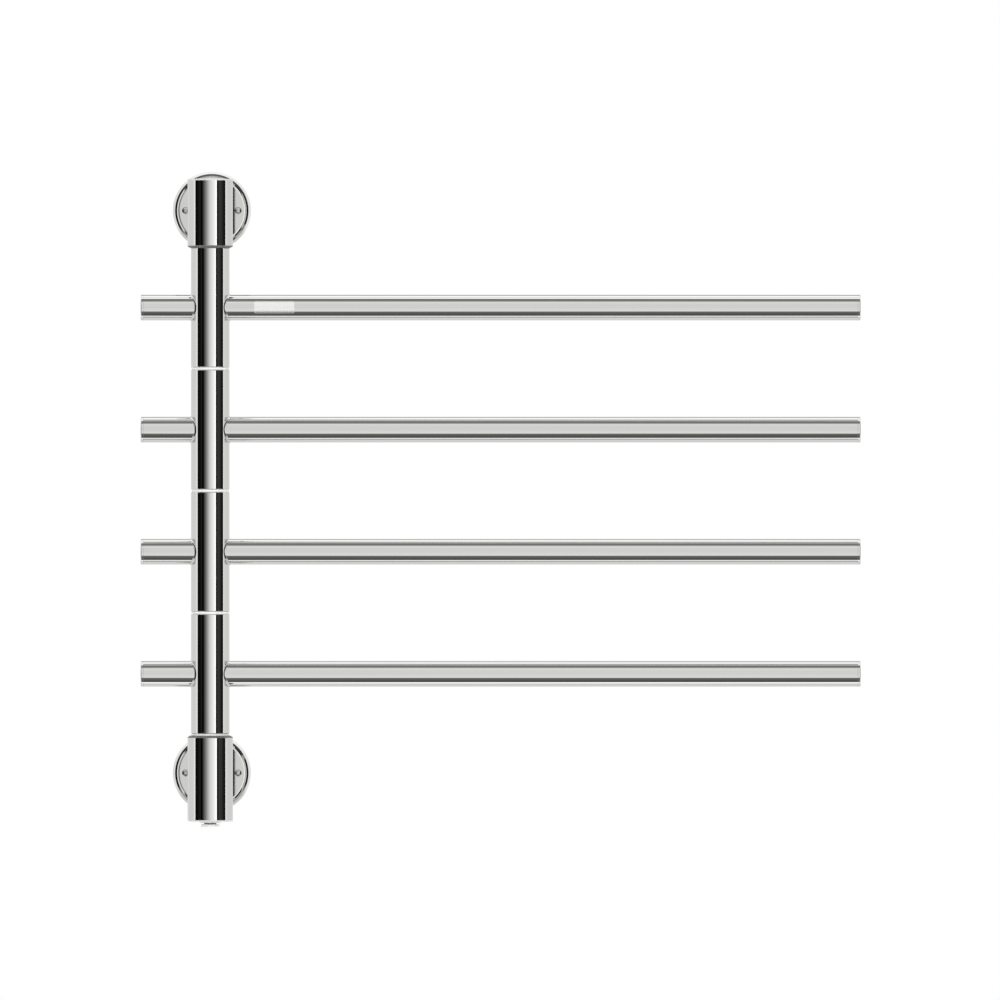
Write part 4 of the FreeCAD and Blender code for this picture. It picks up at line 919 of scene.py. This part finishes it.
# %% Fill light
FILL_WATTS = 36
FILL_DISTANCE = 3.0
FILL_HEIGHT = 0.6
FILL_TILT = 78
FILL_SIZE = 2.0

fill_data = bpy.data.lights.new("fill", "AREA")
fill_data.shape = "DISK"
fill_data.size = FILL_SIZE
fill_data.energy = FILL_WATTS
fill = bpy.data.objects.new("fill", fill_data)
fill.location = (VIEW_CENTRE_X, AXIS_Y - FILL_DISTANCE, FILL_HEIGHT)
fill.rotation_euler = (math.radians(FILL_TILT), 0, 0)
fill.visible_glossy = False
fill.visible_camera = False
bpy.context.scene.collection.objects.link(fill)
print("fill light: %.0f W at %.0f m" % (FILL_WATTS, FILL_DISTANCE))

# %% [markdown]
# ## Floor
#
# The rail hangs on a wall, and the floor lies well below the picture. It is a sheet of white paper
# that the camera sees almost as bright as the background, and can look up through from below.

# %% Floor
FLOOR_DROP = 1.2
FLOOR_SIZE = 40.0
FLOOR_GLOW = 0.85

floor_material = bpy.data.materials.new("Paper, white, matt")
floor_material.use_nodes = True
tree = floor_material.node_tree
tree.nodes.clear()
paper = add_node(tree, "ShaderNodeBsdfDiffuse", {"Color": linear("#F4F4F2")})
glow = add_node(tree, "ShaderNodeEmission", {"Color": linear("#FFFFFF"), "Strength": 1.0})
seen = add_node(tree, "ShaderNodeLightPath")
glow_share = add_node(tree, "ShaderNodeMath", {
    0: seen.outputs["Is Camera Ray"], 1: FLOOR_GLOW,
}, operation="MULTIPLY")
lit = add_node(tree, "ShaderNodeMixShader", {
    0: glow_share.outputs[0], 1: paper.outputs[0], 2: glow.outputs[0],
})
clear = add_node(tree, "ShaderNodeBsdfTransparent")
underside = add_node(tree, "ShaderNodeNewGeometry").outputs["Backfacing"]
sheet = add_node(tree, "ShaderNodeMixShader", {0: underside, 1: lit.outputs[0], 2: clear.outputs[0]})
add_node(tree, "ShaderNodeOutputMaterial", {"Surface": sheet.outputs[0]})
half = FLOOR_SIZE / 2
floor_mesh = bpy.data.meshes.new("floor")
corners = [(x * half, y * half, -FLOOR_DROP) for x, y in SQUARE_CORNERS]
floor_mesh.from_pydata(corners, [], [(0, 1, 2, 3)])
floor_mesh.materials.append(floor_material)
floor = bpy.data.objects.new("floor", floor_mesh)
floor.visible_glossy = False
bpy.context.scene.collection.objects.link(floor)
print("floor: %.1f m below the rail's middle" % FLOOR_DROP)
